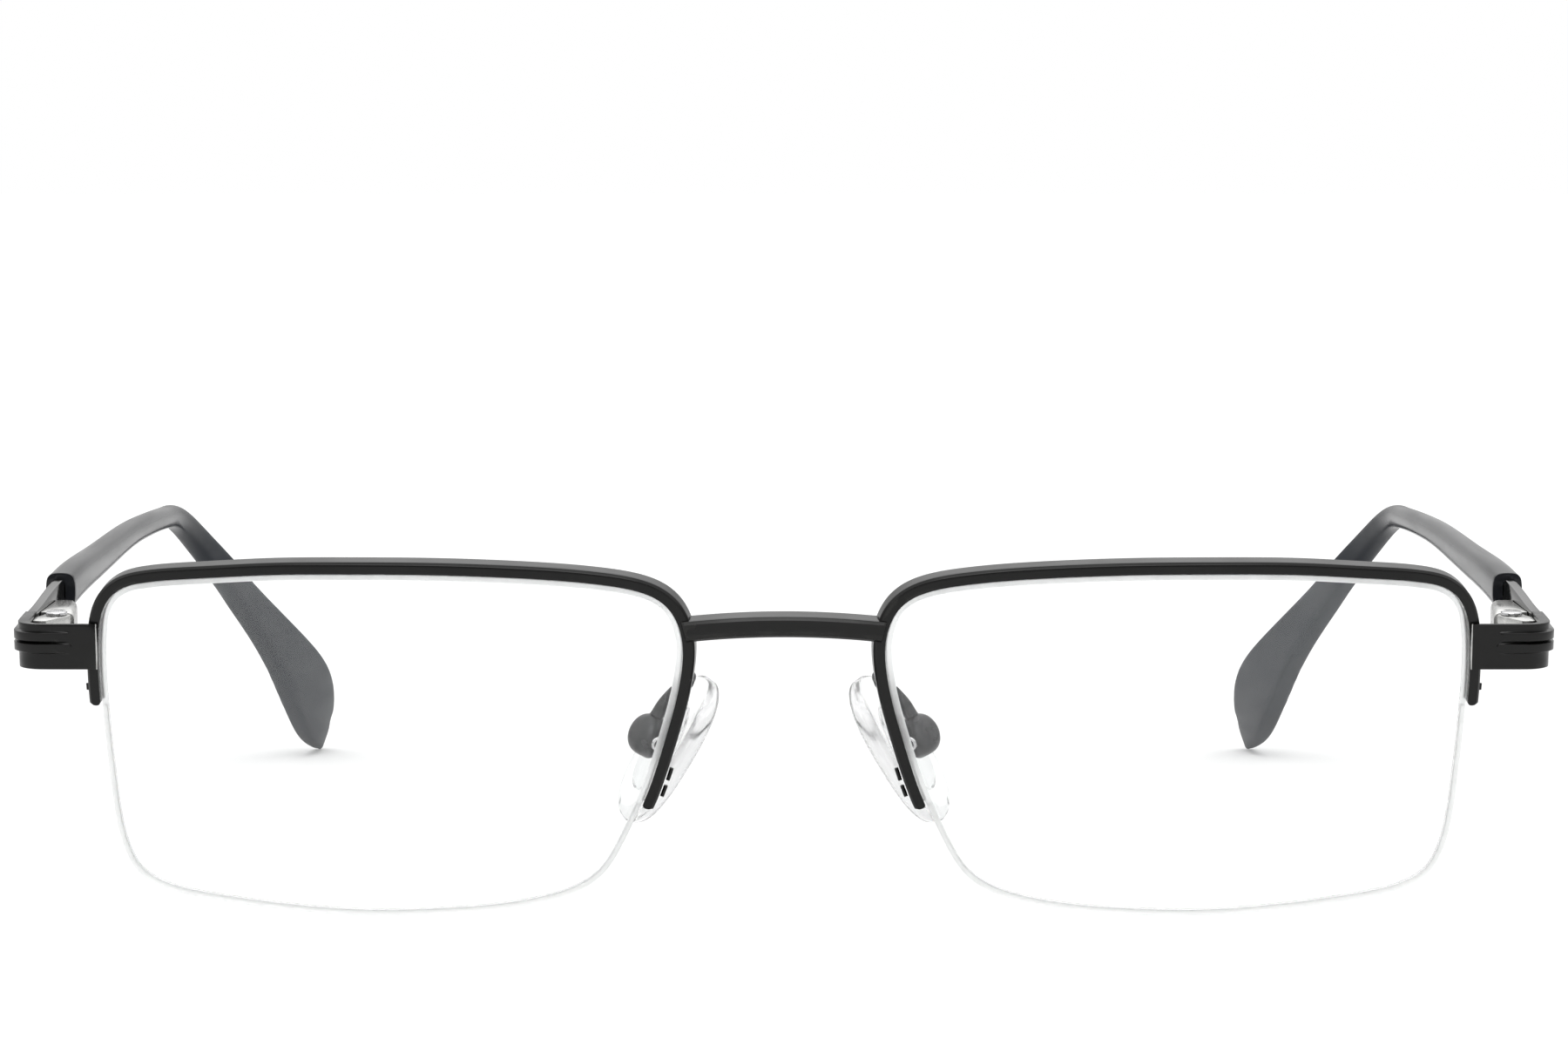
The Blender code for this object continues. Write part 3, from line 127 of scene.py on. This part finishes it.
# Lenses, as the frame's lenses stand. The edge is a row of places in the cut through the lens: how far
# out from its edge and how deep behind its front.
LENS_MIDDLE = Vector((36.1474, -69.6066, 15.7490)) * MM
LENS_CURVE_RADIUS = 130.0 * MM
LENS_THICKNESS = 2.0 * MM
LENS_TILT = 11.5 * DEG
LENS_WRAP = 5.0 * DEG
LENS_SHARP_OVER = 28 * DEG
GROOVE_DEPTH = 0.60 * MM
GROOVE_NEAR = 0.62 * MM
GROOVE_FAR = 1.38 * MM
LENS_BEVEL = 0.16 * MM
BEVEL_BULGE = LENS_BEVEL * 0.3
LENS_RING_SHARES = (0.12, 0.25, 0.38, 0.5, 0.6, 0.7, 0.8, 0.88, 0.94, 0.975)
LENS_EDGE = (
    (-LENS_BEVEL, 0.0),
    (-BEVEL_BULGE, BEVEL_BULGE),
    (0.0, LENS_BEVEL),
    (0.0, GROOVE_NEAR),
    (-GROOVE_DEPTH, GROOVE_NEAR),
    (-GROOVE_DEPTH, GROOVE_FAR),
    (0.0, GROOVE_FAR),
    (0.0, LENS_THICKNESS - LENS_BEVEL),
    (-BEVEL_BULGE, LENS_THICKNESS - BEVEL_BULGE),
    (-LENS_BEVEL, LENS_THICKNESS),
)
# The steps of that row whose faces are ground matt: the groove
GROUND_STEPS = (3, 4, 5)
# The frame's lens outline: the angle of its corner edges, how near the front surface they lie, and how
# many points stand for each of its own
OUTLINE_CORNER = 60 * DEG
OUTLINE_WITHIN = 0.02 * MM
OUTLINE_SPLIT = 3

# The thread and the liner in the groove: radius, and how far out from the lens's edge they lie
THREAD_RADIUS = 0.24 * MM
THREAD_OUT = -0.30 * MM
LINER_RADIUS = 0.28 * MM
LINER_OUT = 0.01 * MM
WIRE_PIECES = 170
WIRE_SIDES = 14
WIRE_ANGLES = [2 * math.pi * i / WIRE_SIDES for i in range(WIRE_SIDES)]

# The line of solder between an end piece and its rim: its radius, how much thinner it gets towards its
# ends, what counts as the end piece's inner edge, and what as an end of that edge
SOLDER_RADIUS = 0.12 * MM
SOLDER_PIECES = 8
SOLDER_THINNEST = 0.2
SOLDER_TAPER = 0.3
SOLDER_EDGE_WITHIN = 0.03 * MM
SOLDER_END_WITHIN = 0.3 * MM

# Screws that clamp the pads: the way the left one's head faces, and the dish in its end face, whose floor is
# painted dark as shade
PAD_SCREW_WAY = Vector((-0.45423, -0.84805, -0.27293))
PAD_SCREW_RING = 0.22 * MM
PAD_SCREW_DISH = 0.16 * MM
DISH_SLOPE = 0.02 * MM
END_FACE_COSINE = 0.98
END_FACE_WITHIN = 0.02 * MM

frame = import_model()
nodes = frame["nodes"]


def sided(left, side):
    """A place or direction of the left half, as it is on the given side."""
    return Vector((left.x if side == "left" else -left.x, left.y, left.z))


# Materials
class Nodes:
    """Short ways to add nodes to a tree and to wire them."""

    def __init__(self, tree):
        self.tree = tree

    def node(self, kind, **settings):
        made = self.tree.nodes.new(kind)
        for name, value in settings.items():
            setattr(made, name, value)
        return made

    def wire(self, source, target):
        self.tree.links.new(source, target)

    def fill(self, target, value):
        """A socket takes a plain number or another socket."""
        if isinstance(value, float):
            target.default_value = value
        else:
            self.wire(value, target)

    def ranged(self, source, low, high, start=0.0, end=1.0):
        """The value from start to end turned into one from low to high."""
        made = self.node("ShaderNodeMapRange")
        for name, value in zip(("From Min", "From Max", "To Min", "To Max"), (start, end, low, high)):
            made.inputs[name].default_value = value
        self.wire(source, made.inputs["Value"])
        return made.outputs["Result"]

    def combined(self, operation, one, two):
        made = self.node("ShaderNodeMath", operation=operation)
        self.fill(made.inputs[0], one)
        self.fill(made.inputs[1], two)
        return made.outputs["Value"]

    def between(self, factor, one, two):
        """A number between two."""
        made = self.node("ShaderNodeMix")
        self.wire(factor, made.inputs["Factor"])
        self.fill(made.inputs["A"], one)
        self.fill(made.inputs["B"], two)
        return made.outputs["Result"]

    def watched(self):
        """One for the camera, straight or through glass, and zero for light and gloss."""
        path = self.node("ShaderNodeLightPath").outputs
        return self.combined("MAXIMUM", path["Is Camera Ray"], path["Is Transmission Ray"])


class Paint(Nodes):
    """A Principled material, and short ways to wire noise, bump and mixes into it."""

    def __init__(self, name, colour, roughness, **sockets):
        self.material = bpy.data.materials.new(name)
        self.material.use_nodes = True
        super().__init__(self.material.node_tree)
        self.shader = self.tree.nodes["Principled BSDF"]
        self.set("Base Color", (*colour, 1.0))
        self.set("Roughness", roughness)
        for socket, value in sockets.items():
            self.set(socket.replace("_", " "), value)
        self.place = self.node("ShaderNodeTexCoord").outputs["Object"]

    def set(self, socket, value):
        self.shader.inputs[socket].default_value = value

    def feed(self, socket, source):
        self.wire(source, self.shader.inputs[socket])

    def noise(self, scale, detail=3.0, stretch=(1, 1, 1)):
        """Noise from 0 to 1 whose cells are about one over scale metres long."""
        space = self.node("ShaderNodeMapping")
        space.inputs["Scale"].default_value = stretch
        self.wire(self.place, space.inputs["Vector"])
        made = self.node("ShaderNodeTexNoise")
        made.inputs["Scale"].default_value = scale
        made.inputs["Detail"].default_value = detail
        self.wire(space.outputs["Vector"], made.inputs["Vector"])
        return made.outputs["Fac"]

    def blend(self, factor, one, two):
        """A colour between two, which are plain colours or sockets."""
        made = self.node("ShaderNodeMix", data_type="RGBA")
        self.wire(factor, made.inputs["Factor"])
        for name, value in (("A", one), ("B", two)):
            socket = next(s for s in made.inputs if s.name == name and s.type == "RGBA")
            if isinstance(value, tuple):
                socket.default_value = (*value, 1.0)
            else:
                self.wire(value, socket)
        return next(s for s in made.outputs if s.type == "RGBA")

    def bump(self, height, strength, distance):
        made = self.node("ShaderNodeBump")
        made.inputs["Strength"].default_value = strength
        made.inputs["Distance"].default_value = distance
        self.wire(height, made.inputs["Height"])
        self.feed("Normal", made.outputs["Normal"])

    def edges(self, start, end):
        """One on the outer edges of the shape and zero elsewhere."""
        return self.ranged(self.node("ShaderNodeNewGeometry").outputs["Pointiness"], 0, 1, start, end)

    def let_lamps_through(self, colour):
        """Lamps shine through with this colour, where glass alone would cast a black shadow."""
        clear = self.node("ShaderNodeBsdfTransparent")
        clear.inputs["Color"].default_value = (*colour, 1.0)
        path = self.node("ShaderNodeLightPath")
        both = self.node("ShaderNodeMixShader")
        self.wire(path.outputs["Is Shadow Ray"], both.inputs["Fac"])
        self.wire(self.shader.outputs["BSDF"], both.inputs[1])
        self.wire(clear.outputs["BSDF"], both.inputs[2])
        self.wire(both.outputs["Shader"], self.tree.nodes["Material Output"].inputs["Surface"])


def black_lacquer(name, rough, roughest, gloss):
    """Glossy black lacquer on metal, with a painted highlight that makes it greyer along the edges, in
    patches.
    """
    paint = Paint(name, (0.004, 0.004, 0.004), (rough + roughest) / 2, Specular_IOR_Level=gloss)
    mottled = paint.noise(scale=260, detail=4)
    # Painted highlight: the base colour goes lighter on the shape's edges, in patches of the mottled noise
    highlight_patches = paint.ranged(mottled, 0, 1, start=0.35, end=0.7)
    painted_edge_highlight = paint.combined("MULTIPLY", paint.edges(start=0.53, end=0.62), highlight_patches)
    paint.feed("Base Color", paint.blend(painted_edge_highlight, *LACQUER_AND_HIGHLIGHT_COLOURS))
    paint.feed("Roughness", paint.ranged(mottled, rough, roughest, *NOISE_SPREAD))
    paint.bump(paint.noise(scale=1900, detail=2), strength=0.08, distance=FINE_GRAIN)
    return paint.material


def black_plastic():
    """Polished black plastic, which turns satin and bluish grey on the flared tip."""
    paint = Paint("black_plastic", (0.012, 0.013, 0.015), 0.15, Specular_IOR_Level=0.19, Coat_Roughness=0.1)
    split = paint.node("ShaderNodeSeparateXYZ")
    paint.wire(paint.place, split.inputs["Vector"])
    satin = paint.ranged(split.outputs["Y"], 0, 1, *SATIN_PLACES)
    cloudy = paint.noise(scale=150, detail=4)
    grain = paint.noise(scale=5200, detail=2)
    drawn = paint.noise(scale=420, detail=3, stretch=(1, 0.08, 1))
    polished = paint.blend(cloudy, *POLISHED_COLOURS)
    frosted = paint.blend(cloudy, *FROSTED_COLOURS)
    paint.feed("Base Color", paint.blend(satin, polished, frosted))
    fine = paint.ranged(drawn, 0.12, 0.26, start=0.35, end=0.65)
    paint.feed("Roughness", paint.combined("ADD", fine, paint.ranged(satin, 0.0, SATIN_ROUGHNESS)))
    paint.feed("Coat Weight", paint.ranged(satin, 0.15, 0.0))
    paint.bump(paint.combined("MULTIPLY", grain, satin), strength=0.25, distance=FINE_GRAIN)
    return paint.material


def metal(name, dark, light, rough, roughest, scale=900):
    """Plated metal with fine brush marks and slight spots."""
    middle = tuple((a + b) / 2 for a, b in zip(dark, light))
    paint = Paint(name, middle, (rough + roughest) / 2, Metallic=1.0)
    brushed = paint.noise(scale, detail=3, stretch=(1, 0.12, 1))
    spots = paint.noise(scale * 1.6, detail=4)
    paint.feed("Base Color", paint.blend(paint.ranged(spots, 0, 1, *NOISE_SPREAD), dark, light))
    paint.feed("Roughness", paint.ranged(brushed, rough, roughest, *NOISE_SPREAD))
    paint.bump(brushed, strength=0.12, distance=FINE_GRAIN)
    return paint.material


def clear(name, colour, ior, rough, roughest, scale, bump, shade, clarity=1.0):
    """Clear or milky stuff with a faint haze, through which the lamps still shine."""
    paint = Paint(name, colour, (rough + roughest) / 2, Transmission_Weight=clarity, IOR=ior)
    haze = paint.noise(scale, detail=4)
    paint.feed("Roughness", paint.ranged(haze, rough, roughest, *NOISE_SPREAD))
    if bump:
        paint.bump(paint.noise(scale * 1.7, detail=3), strength=bump, distance=CLEAR_GRAIN)
    paint.let_lamps_through(shade)
    return paint.material


LACQUER = black_lacquer("black_lacquer", 0.16, 0.27, gloss=0.28)
POLISHED_LACQUER = black_lacquer("polished_black_lacquer", 0.06, 0.12, gloss=1.0)
PLASTIC = black_plastic()
GUNMETAL = metal("gunmetal", (0.022, 0.022, 0.023), (0.050, 0.050, 0.052), 0.24, 0.42)
HINGE_METAL = metal("hinge_metal", (0.52, 0.52, 0.51), (0.68, 0.68, 0.66), 0.2, 0.34)
STEEL = metal("bright_steel", (0.48, 0.48, 0.49), (0.68, 0.68, 0.68), 0.14, 0.3, scale=1500)
CLEAR_LENS = clear(
    "lens_clear", (0.985, 0.992, 0.99), ior=1.5, rough=0.0, roughest=0.012, scale=60, bump=0,
    shade=(0.95, 0.955, 0.955),
)
GROUND_LENS = clear(
    "lens_ground", (0.99, 0.995, 0.992), ior=1.5, rough=0.5, roughest=0.65, scale=900, bump=0.1,
    shade=(0.9, 0.905, 0.905),
)
SILICONE = clear(
    "silicone", (0.94, 0.945, 0.945), ior=1.36, rough=0.04, roughest=0.16, scale=420, bump=0.15,
    shade=(0.86, 0.87, 0.87), clarity=0.94,
)
CLEAR_PLASTIC = clear(
    "clear_plastic", (0.93, 0.935, 0.935), ior=1.12, rough=0.05, roughest=0.2, scale=500, bump=0.2,
    shade=(0.8, 0.81, 0.81),
)
NYLON = clear(
    "nylon_clear", (0.96, 0.96, 0.955), ior=1.5, rough=0.03, roughest=0.1, scale=800, bump=0.1,
    shade=(0.7, 0.7, 0.7), clarity=0.9,
)


# Smooth pieces from the frame's solids
def in_scene(name, data):
    made = bpy.data.objects.new(name, data)
    bpy.context.scene.collection.objects.link(made)
    return made


def shown(name, mesh, *materials):
    for material in materials:
        mesh.materials.append(material)
    return in_scene(name, mesh)


def stand_for(piece, node):
    """The piece replaces a node of the frame and rides where it rides."""
    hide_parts(node)
    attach(piece, nodes[node]["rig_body"])
    return piece


def form_of(node):
    """A node's form, with the corners that lie on each other made one."""
    body = bmesh.new()
    body.from_mesh(nodes[node].data)
    bmesh.ops.remove_doubles(body, verts=body.verts, dist=MERGED_WITHIN)
    return body


def mesh_of(name, body):
    """The form as a mesh. The form is used up."""
    mesh = bpy.data.meshes.new(name)
    body.to_mesh(mesh)
    body.free()
    return mesh


def shade_smoothly(mesh, sharp_over=SHARP_OVER):
    mesh.shade_smooth()
    mesh.set_sharp_from_angle(angle=sharp_over)


def dish(body, way, ring, depth):
    """Sinks the end face that looks the given way, inside a ring, and gives the dish's floor the second
    material, a darker metal painted in as shade.
    """
    ends = [f for f in body.faces if f.normal.dot(way) > END_FACE_COSINE]
    furthest = max(f.calc_center_median().dot(way) for f in ends)
    ends = [f for f in ends if f.calc_center_median().dot(way) > furthest - END_FACE_WITHIN]
    bmesh.ops.inset_region(body, faces=ends, thickness=ring)
    bmesh.ops.inset_region(body, faces=ends, thickness=DISH_SLOPE, depth=-depth)
    # Painted shade: the sunk floor of the dish takes the second, darker material
    for face in ends:
        face.material_index = 1


def refined(node, slot, *materials, crease=BAR_CREASE, levels=2, bevel=0.0, dish_and_painted_shade=None):
    """A copy of a node whose long curves are smooth, and whose edges over the crease angle are rounded.

    The last argument, if given, is what dish() takes, and the dish's floor has the second of the materials:
    a darker metal painted in as shade.
    """
    body = form_of(node)
    bmesh.ops.join_triangles(
        body, faces=body.faces, angle_face_threshold=FLAT_WITHIN, angle_shape_threshold=ANY_SHAPE
    )
    if dish_and_painted_shade:
        dish(body, *dish_and_painted_shade)
    creases = body.edges.layers.float.new("crease_edge")
    for edge in body.edges:
        if len(edge.link_faces) == 2 and edge.calc_face_angle(0) > crease:
            edge[creases] = 1.0
    made = shown(f"{node}_shape", mesh_of(f"{node}_shape", body), *materials)
    if levels:
        smooth = made.modifiers.new("smooth", "SUBSURF")
        smooth.levels = smooth.render_levels = levels
    if bevel:
        rounded = made.modifiers.new("rounded", "BEVEL")
        rounded.width = bevel
        rounded.segments = ROUNDING_STEPS
        rounded.limit_method = "ANGLE"
        rounded.angle_limit = crease
    bpy.context.view_layer.update()
    seen = made.evaluated_get(bpy.context.evaluated_depsgraph_get())
    made.modifiers.clear()
    made.data = bpy.data.meshes.new_from_object(seen)
    shade_smoothly(made.data)
    return stand_for(made, node)


def hinge_spring(side):
    """The coil, as a smooth copy of the frame's spring with a mesh of its own."""
    node = f"{side}_hinge_spring"
    made = refined(node, "steel", STEEL, crease=ROUND_CREASE, levels=1)
    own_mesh(made)


def band(body, one, two, material=0):
    """Faces between two closed rings of corners."""
    for i in range(len(one)):
        k = (i + 1) % len(one)
        body.faces.new((one[i], one[k], two[k], two[i])).material_index = material


def wire_mesh(name, rings):
    """A round wire through rings of points, closed at both ends."""
    body = bmesh.new()
    made = [[body.verts.new(place) for place in ring] for ring in rings]
    for one, two in zip(made, made[1:]):
        band(body, one, two)
    body.faces.new(made[0])
    body.faces.new(made[-1])
    bmesh.ops.recalc_face_normals(body, faces=body.faces)
    mesh = mesh_of(name, body)
    shade_smoothly(mesh)
    return mesh


def end_solder(side):
    """The solder line in the corner between the end piece's inner end and the rim, thinner at both ends."""
    name = f"{side}_end_solder"
    places = [v.co.copy() for v in nodes[f"{side}_end_piece"].data.vertices]
    inner = min(sided(place, side).x for place in places)
    edge = [place for place in places if sided(place, side).x < inner + SOLDER_EDGE_WITHIN]
    ends = []
    for pick in (min, max):
        level = pick(edge, key=lambda place: place.z).z
        near = [place for place in edge if abs(place.z - level) < SOLDER_END_WITHIN]
        ends.append(max(near, key=lambda place: place.y))
    low, high = ends
    along = (high - low).normalized()
    across = Vector((1, 0, 0)) - along * along.x
    across.normalize()
    out = along.cross(across)
    rings = []
    for i in range(SOLDER_PIECES + 1):
        share = i / SOLDER_PIECES
        radius = SOLDER_RADIUS * max(math.sin(math.pi * share), SOLDER_THINNEST) ** SOLDER_TAPER
        middle = low.lerp(high, share)
        rings.append([middle + (across * math.cos(a) + out * math.sin(a)) * radius for a in WIRE_ANGLES])
    made = shown(name, wire_mesh(name, rings), HINGE_METAL)
    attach(made, "front")


# Lenses, and the wires in their grooves
class LensSpace:
    """The lens's own directions: across to the temple, up, and back through the lens."""

    def __init__(self, side):
        across, behind = math.cos(LENS_WRAP), math.sin(LENS_WRAP)
        upright, lean = math.cos(LENS_TILT), math.sin(LENS_TILT)
        self.middle = sided(LENS_MIDDLE, side)
        self.across = sided(Vector((across, behind, 0.0)), side)
        self.up = sided(Vector((behind * lean, -across * lean, upright)), side)
        self.back = sided(Vector((-behind * upright, across * upright, lean)), side)

    def local(self, point):
        """Across, up and the depth behind the front surface."""
        away = point - self.middle
        across, up = away.dot(self.across), away.dot(self.up)
        return Vector((across, up, away.dot(self.back) - self.sag(across, up)))

    def sag(self, across, up):
        return LENS_CURVE_RADIUS - math.sqrt(LENS_CURVE_RADIUS**2 - across**2 - up**2)

    def place(self, across, up, depth):
        back = self.back * (self.sag(across, up) + depth)
        return self.middle + self.across * across + self.up * up + back


def edge_loop(node, space):
    """The corner points of the lens's front edge in order, as across and up."""
    body = form_of(node)
    rim = set()
    for edge in body.edges:
        if len(edge.link_faces) == 2 and edge.calc_face_angle(0) > OUTLINE_CORNER:
            if max(abs(space.local(v.co).z) for v in edge.verts) < OUTLINE_WITHIN:
                rim.add(edge)
    first = min(rim, key=lambda e: e.verts[0].co.z)
    loop, point = [first.verts[0]], first.verts[1]
    rim.remove(first)
    while point is not loop[0]:
        loop.append(point)
        following = next(e for e in point.link_edges if e in rim)
        rim.remove(following)
        point = following.other_vert(point)
    places = [space.local(v.co).xy for v in loop]
    body.free()
    return places


def smoothed(places, split):
    """A closed row of points with a smooth curve through them, split times as many."""
    count = len(places)
    made = []
    for i in range(count):
        a, b, c, d = (places[(i + k) % count] for k in (-1, 0, 1, 2))
        for k in range(split):
            t = k / split
            bent = (a * 2 - b * 5 + c * 4 - d) * t**2 + (b * 3 - a - c * 3 + d) * t**3
            made.append((b * 2 + (c - a) * t + bent) / 2)
    return made


def lens_edge(side):
    """The lens's space, its edge as a smooth closed row, and the direction out of the edge at each point."""
    space = LensSpace(side)
    edge = smoothed(edge_loop(f"{side}_lens", space), OUTLINE_SPLIT)
    outwards = []
    for i in range(len(edge)):
        along = (edge[(i + 1) % len(edge)] - edge[i - 1]).normalized()
        outwards.append(Vector((along.y, -along.x)))
    if sum(a.dot(b) for a, b in zip(edge, outwards)) < 0:
        outwards = [-away for away in outwards]
    return space, edge, outwards


def along_edge(edge, spot):
    """How far round the edge a spot lies, as a number of its points."""
    best = None
    for i, start in enumerate(edge):
        step = edge[(i + 1) % len(edge)] - start
        share = min(max((spot - start).dot(step) / step.length_squared, 0.0), 1.0)
        away = (spot - start - step * share).length
        if best is None or away < best[0]:
            best = (away, i + share)
    return best[1]


def groove_wire(side, name, radius, out):
    """A smooth round wire in the lens's groove, as long as the frame's own."""
    node = f"{side}_{name}"
    space, edge, outwards = lens_edge(side)
    count = len(edge)
    spots = sorted({along_edge(edge, space.local(v.co).xy) for v in nodes[node].data.vertices})
    gaps = [(b - a, b, a) for a, b in zip(spots, spots[1:])]
    gaps.append((spots[0] + count - spots[-1], spots[0], spots[-1]))
    _, start, finish = max(gaps)
    length = (finish - start) % count
    depth = (GROOVE_NEAR + GROOVE_FAR) / 2
    rings = []
    for i in range(WIRE_PIECES + 1):
        at = start + length * i / WIRE_PIECES
        k, share = int(at) % count, at % 1
        spot = edge[k].lerp(edge[(k + 1) % count], share)
        away = outwards[k].lerp(outwards[(k + 1) % count], share).normalized()
        ring = []
        for angle in WIRE_ANGLES:
            across, up = spot + away * (out + radius * math.cos(angle))
            ring.append(space.place(across, up, depth + radius * math.sin(angle)))
        rings.append(ring)
    stand_for(shown(f"{node}_shape", wire_mesh(f"{node}_shape", rings), NYLON), node)


def smooth_lens(side):
    """The lens with a true curve, an even edge and its groove, made on the frame's own lens outline."""
    node = f"{side}_lens"
    space, edge, outwards = lens_edge(side)
    front, back = (
        [[(spot * share, depth) for spot in edge] for share in LENS_RING_SHARES]
        for depth in (0.0, LENS_THICKNESS)
    )
    rim = [[(spot + away * out, depth) for spot, away in zip(edge, outwards)] for out, depth in LENS_EDGE]
    body = bmesh.new()
    rings = [
        [body.verts.new(space.place(*spot, depth)) for spot, depth in ring]
        for ring in front + rim + back[::-1]
    ]
    for i, (one, two) in enumerate(zip(rings, rings[1:])):
        band(body, one, two, int(i - len(LENS_RING_SHARES) in GROUND_STEPS))
    for ring, depth in ((rings[0], 0.0), (rings[-1], LENS_THICKNESS)):
        pole = body.verts.new(space.place(0.0, 0.0, depth))
        for i in range(len(ring)):
            body.faces.new((ring[i], ring[(i + 1) % len(ring)], pole))
    bmesh.ops.recalc_face_normals(body, faces=body.faces)
    mesh = mesh_of(f"{node}_shape", body)
    shade_smoothly(mesh, LENS_SHARP_OVER)
    stand_for(shown(f"{node}_shape", mesh, CLEAR_LENS, GROUND_LENS), node)


# Studio
def studio():
    """A white room for the camera and through glass, whose light and gloss come more from behind."""
    world = bpy.data.worlds.new("studio")
    bpy.context.scene.world = world
    world.use_nodes = True
    room = Nodes(world.node_tree)
    split = room.node("ShaderNodeSeparateXYZ")
    room.wire(room.node("ShaderNodeTexCoord").outputs["Generated"], split.inputs["Vector"])
    levels = []
    for front, back, high in (LIGHT_LEVELS, GLOSS_LEVELS):
        level = room.ranged(split.outputs["Y"], front, back, *FRONT_TO_BACK)
        overhead = room.ranged(split.outputs["Z"], 0.0, high, *LOW_TO_HIGH)
        levels.append(room.combined("ADD", level, overhead))
    level = room.between(room.node("ShaderNodeLightPath").outputs["Is Glossy Ray"], *levels)
    light = room.tree.nodes["Background"].inputs
    light["Color"].default_value = (1, 1, 1, 1)
    room.wire(room.between(room.watched(), level, 1.0), light["Strength"])


def floor():
    """The table, which looks white far from the object and keeps the object's shadow near it."""
    body = bmesh.new()
    corners = (
        (-FLOOR_REACH, FLOOR_FRONT), (FLOOR_REACH, FLOOR_FRONT),
        (FLOOR_REACH, FLOOR_REACH), (-FLOOR_REACH, FLOOR_REACH),
    )
    body.faces.new([body.verts.new((x, y, 0.0)) for x, y in corners])
    paint = Paint("floor", FLOOR_COLOUR, FLOOR_ROUGHNESS, Specular_IOR_Level=0.0)
    away = paint.node("ShaderNodeVectorMath", operation="LENGTH")
    paint.wire(paint.place, away.inputs[0])
    lift = paint.ranged(away.outputs["Value"], *FLOOR_LIFTS, *FLOOR_LIFT_PLACES)
    paint.set("Emission Color", (1, 1, 1, 1))
    paint.feed("Emission Strength", paint.combined("MULTIPLY", paint.watched(), lift))
    shown("floor", mesh_of("floor", body), paint.material)


def softbox(name, place, size, power):
    data = bpy.data.lights.new(name, "AREA")
    data.shape = "RECTANGLE"
    data.size, data.size_y = size
    data.energy = power
    made = in_scene(name, data)
    made.location = place
    made.rotation_euler = (-Vector(place)).to_track_quat("-Z", "Y").to_euler()


def camera():
    data = bpy.data.cameras.new("camera")
    data.lens = CAMERA_LENS
    data.sensor_width = CAMERA_SENSOR
    data.clip_start = CAMERA_NEAR
    made = in_scene("camera", data)
    made.location = CAMERA_PLACE
    made.rotation_euler = (math.pi / 2 - CAMERA_TILT, 0, 0)
    bpy.context.scene.camera = made


camera()
studio()
floor()
for box in SOFTBOXES:
    softbox(*box)

refined("bridge", "black_metal", LACQUER, bevel=0.08 * MM)
for side in SIDES:
    refined(f"{side}_half_rim", "black_metal", LACQUER, bevel=0.06 * MM)
    refined(f"{side}_end_piece", "black_metal", LACQUER, bevel=0.06 * MM, levels=1)
    end_solder(side)
    refined(f"{side}_temple_plate", "black_metal", POLISHED_LACQUER, bevel=0.06 * MM)
    refined(f"{side}_temple_sleeve", "black_plastic", PLASTIC, crease=ROUND_CREASE, bevel=0.05 * MM)
    smooth_lens(side)
    groove_wire(side, "nylon_liner", LINER_RADIUS, LINER_OUT)
    groove_wire(side, "nylon_thread", THREAD_RADIUS, THREAD_OUT)
    for place in ("outer", "upper", "lower"):
        knot = f"{side}_thread_knot_{place}"
        refined(knot, "black_plastic", LACQUER, crease=ROUND_CREASE, bevel=0.1 * MM)
    refined(f"{side}_front_knuckle", "dark_steel", HINGE_METAL, levels=0, bevel=0.08 * MM)
    refined(f"{side}_spring_housing", "dark_steel", HINGE_METAL, bevel=0.08 * MM, **MACHINED)
    refined(f"{side}_pad_arm", "dark_steel", GUNMETAL, crease=ROUND_CREASE)
    refined(f"{side}_pad_box", "dark_steel", GUNMETAL, crease=MACHINED_CREASE, levels=1, bevel=0.05 * MM)
    # The pad screw's dish floor is painted dark with gunmetal, as shade in the recess
    head = (sided(PAD_SCREW_WAY, side), PAD_SCREW_RING, PAD_SCREW_DISH)
    refined(f"{side}_pad_screw", "steel", STEEL, GUNMETAL, bevel=0.03 * MM, dish_and_painted_shade=head, **MACHINED)
    refined(f"{side}_hinge_screw", "steel", STEEL, bevel=0.04 * MM, **MACHINED)
    refined(f"{side}_spring_slider", "steel", STEEL, bevel=0.04 * MM, **MACHINED)
    refined(f"{side}_spring_stop", "steel", STEEL, **MACHINED)
    hinge_spring(side)
    refined(f"{side}_pad_core", "clear_plastic", CLEAR_PLASTIC, bevel=0.08 * MM, **MACHINED)
    pad = refined(f"{side}_nose_pad", "clear_silicone", SILICONE, crease=ROUND_CREASE)

bpy.context.scene.view_settings.view_transform = "Standard"
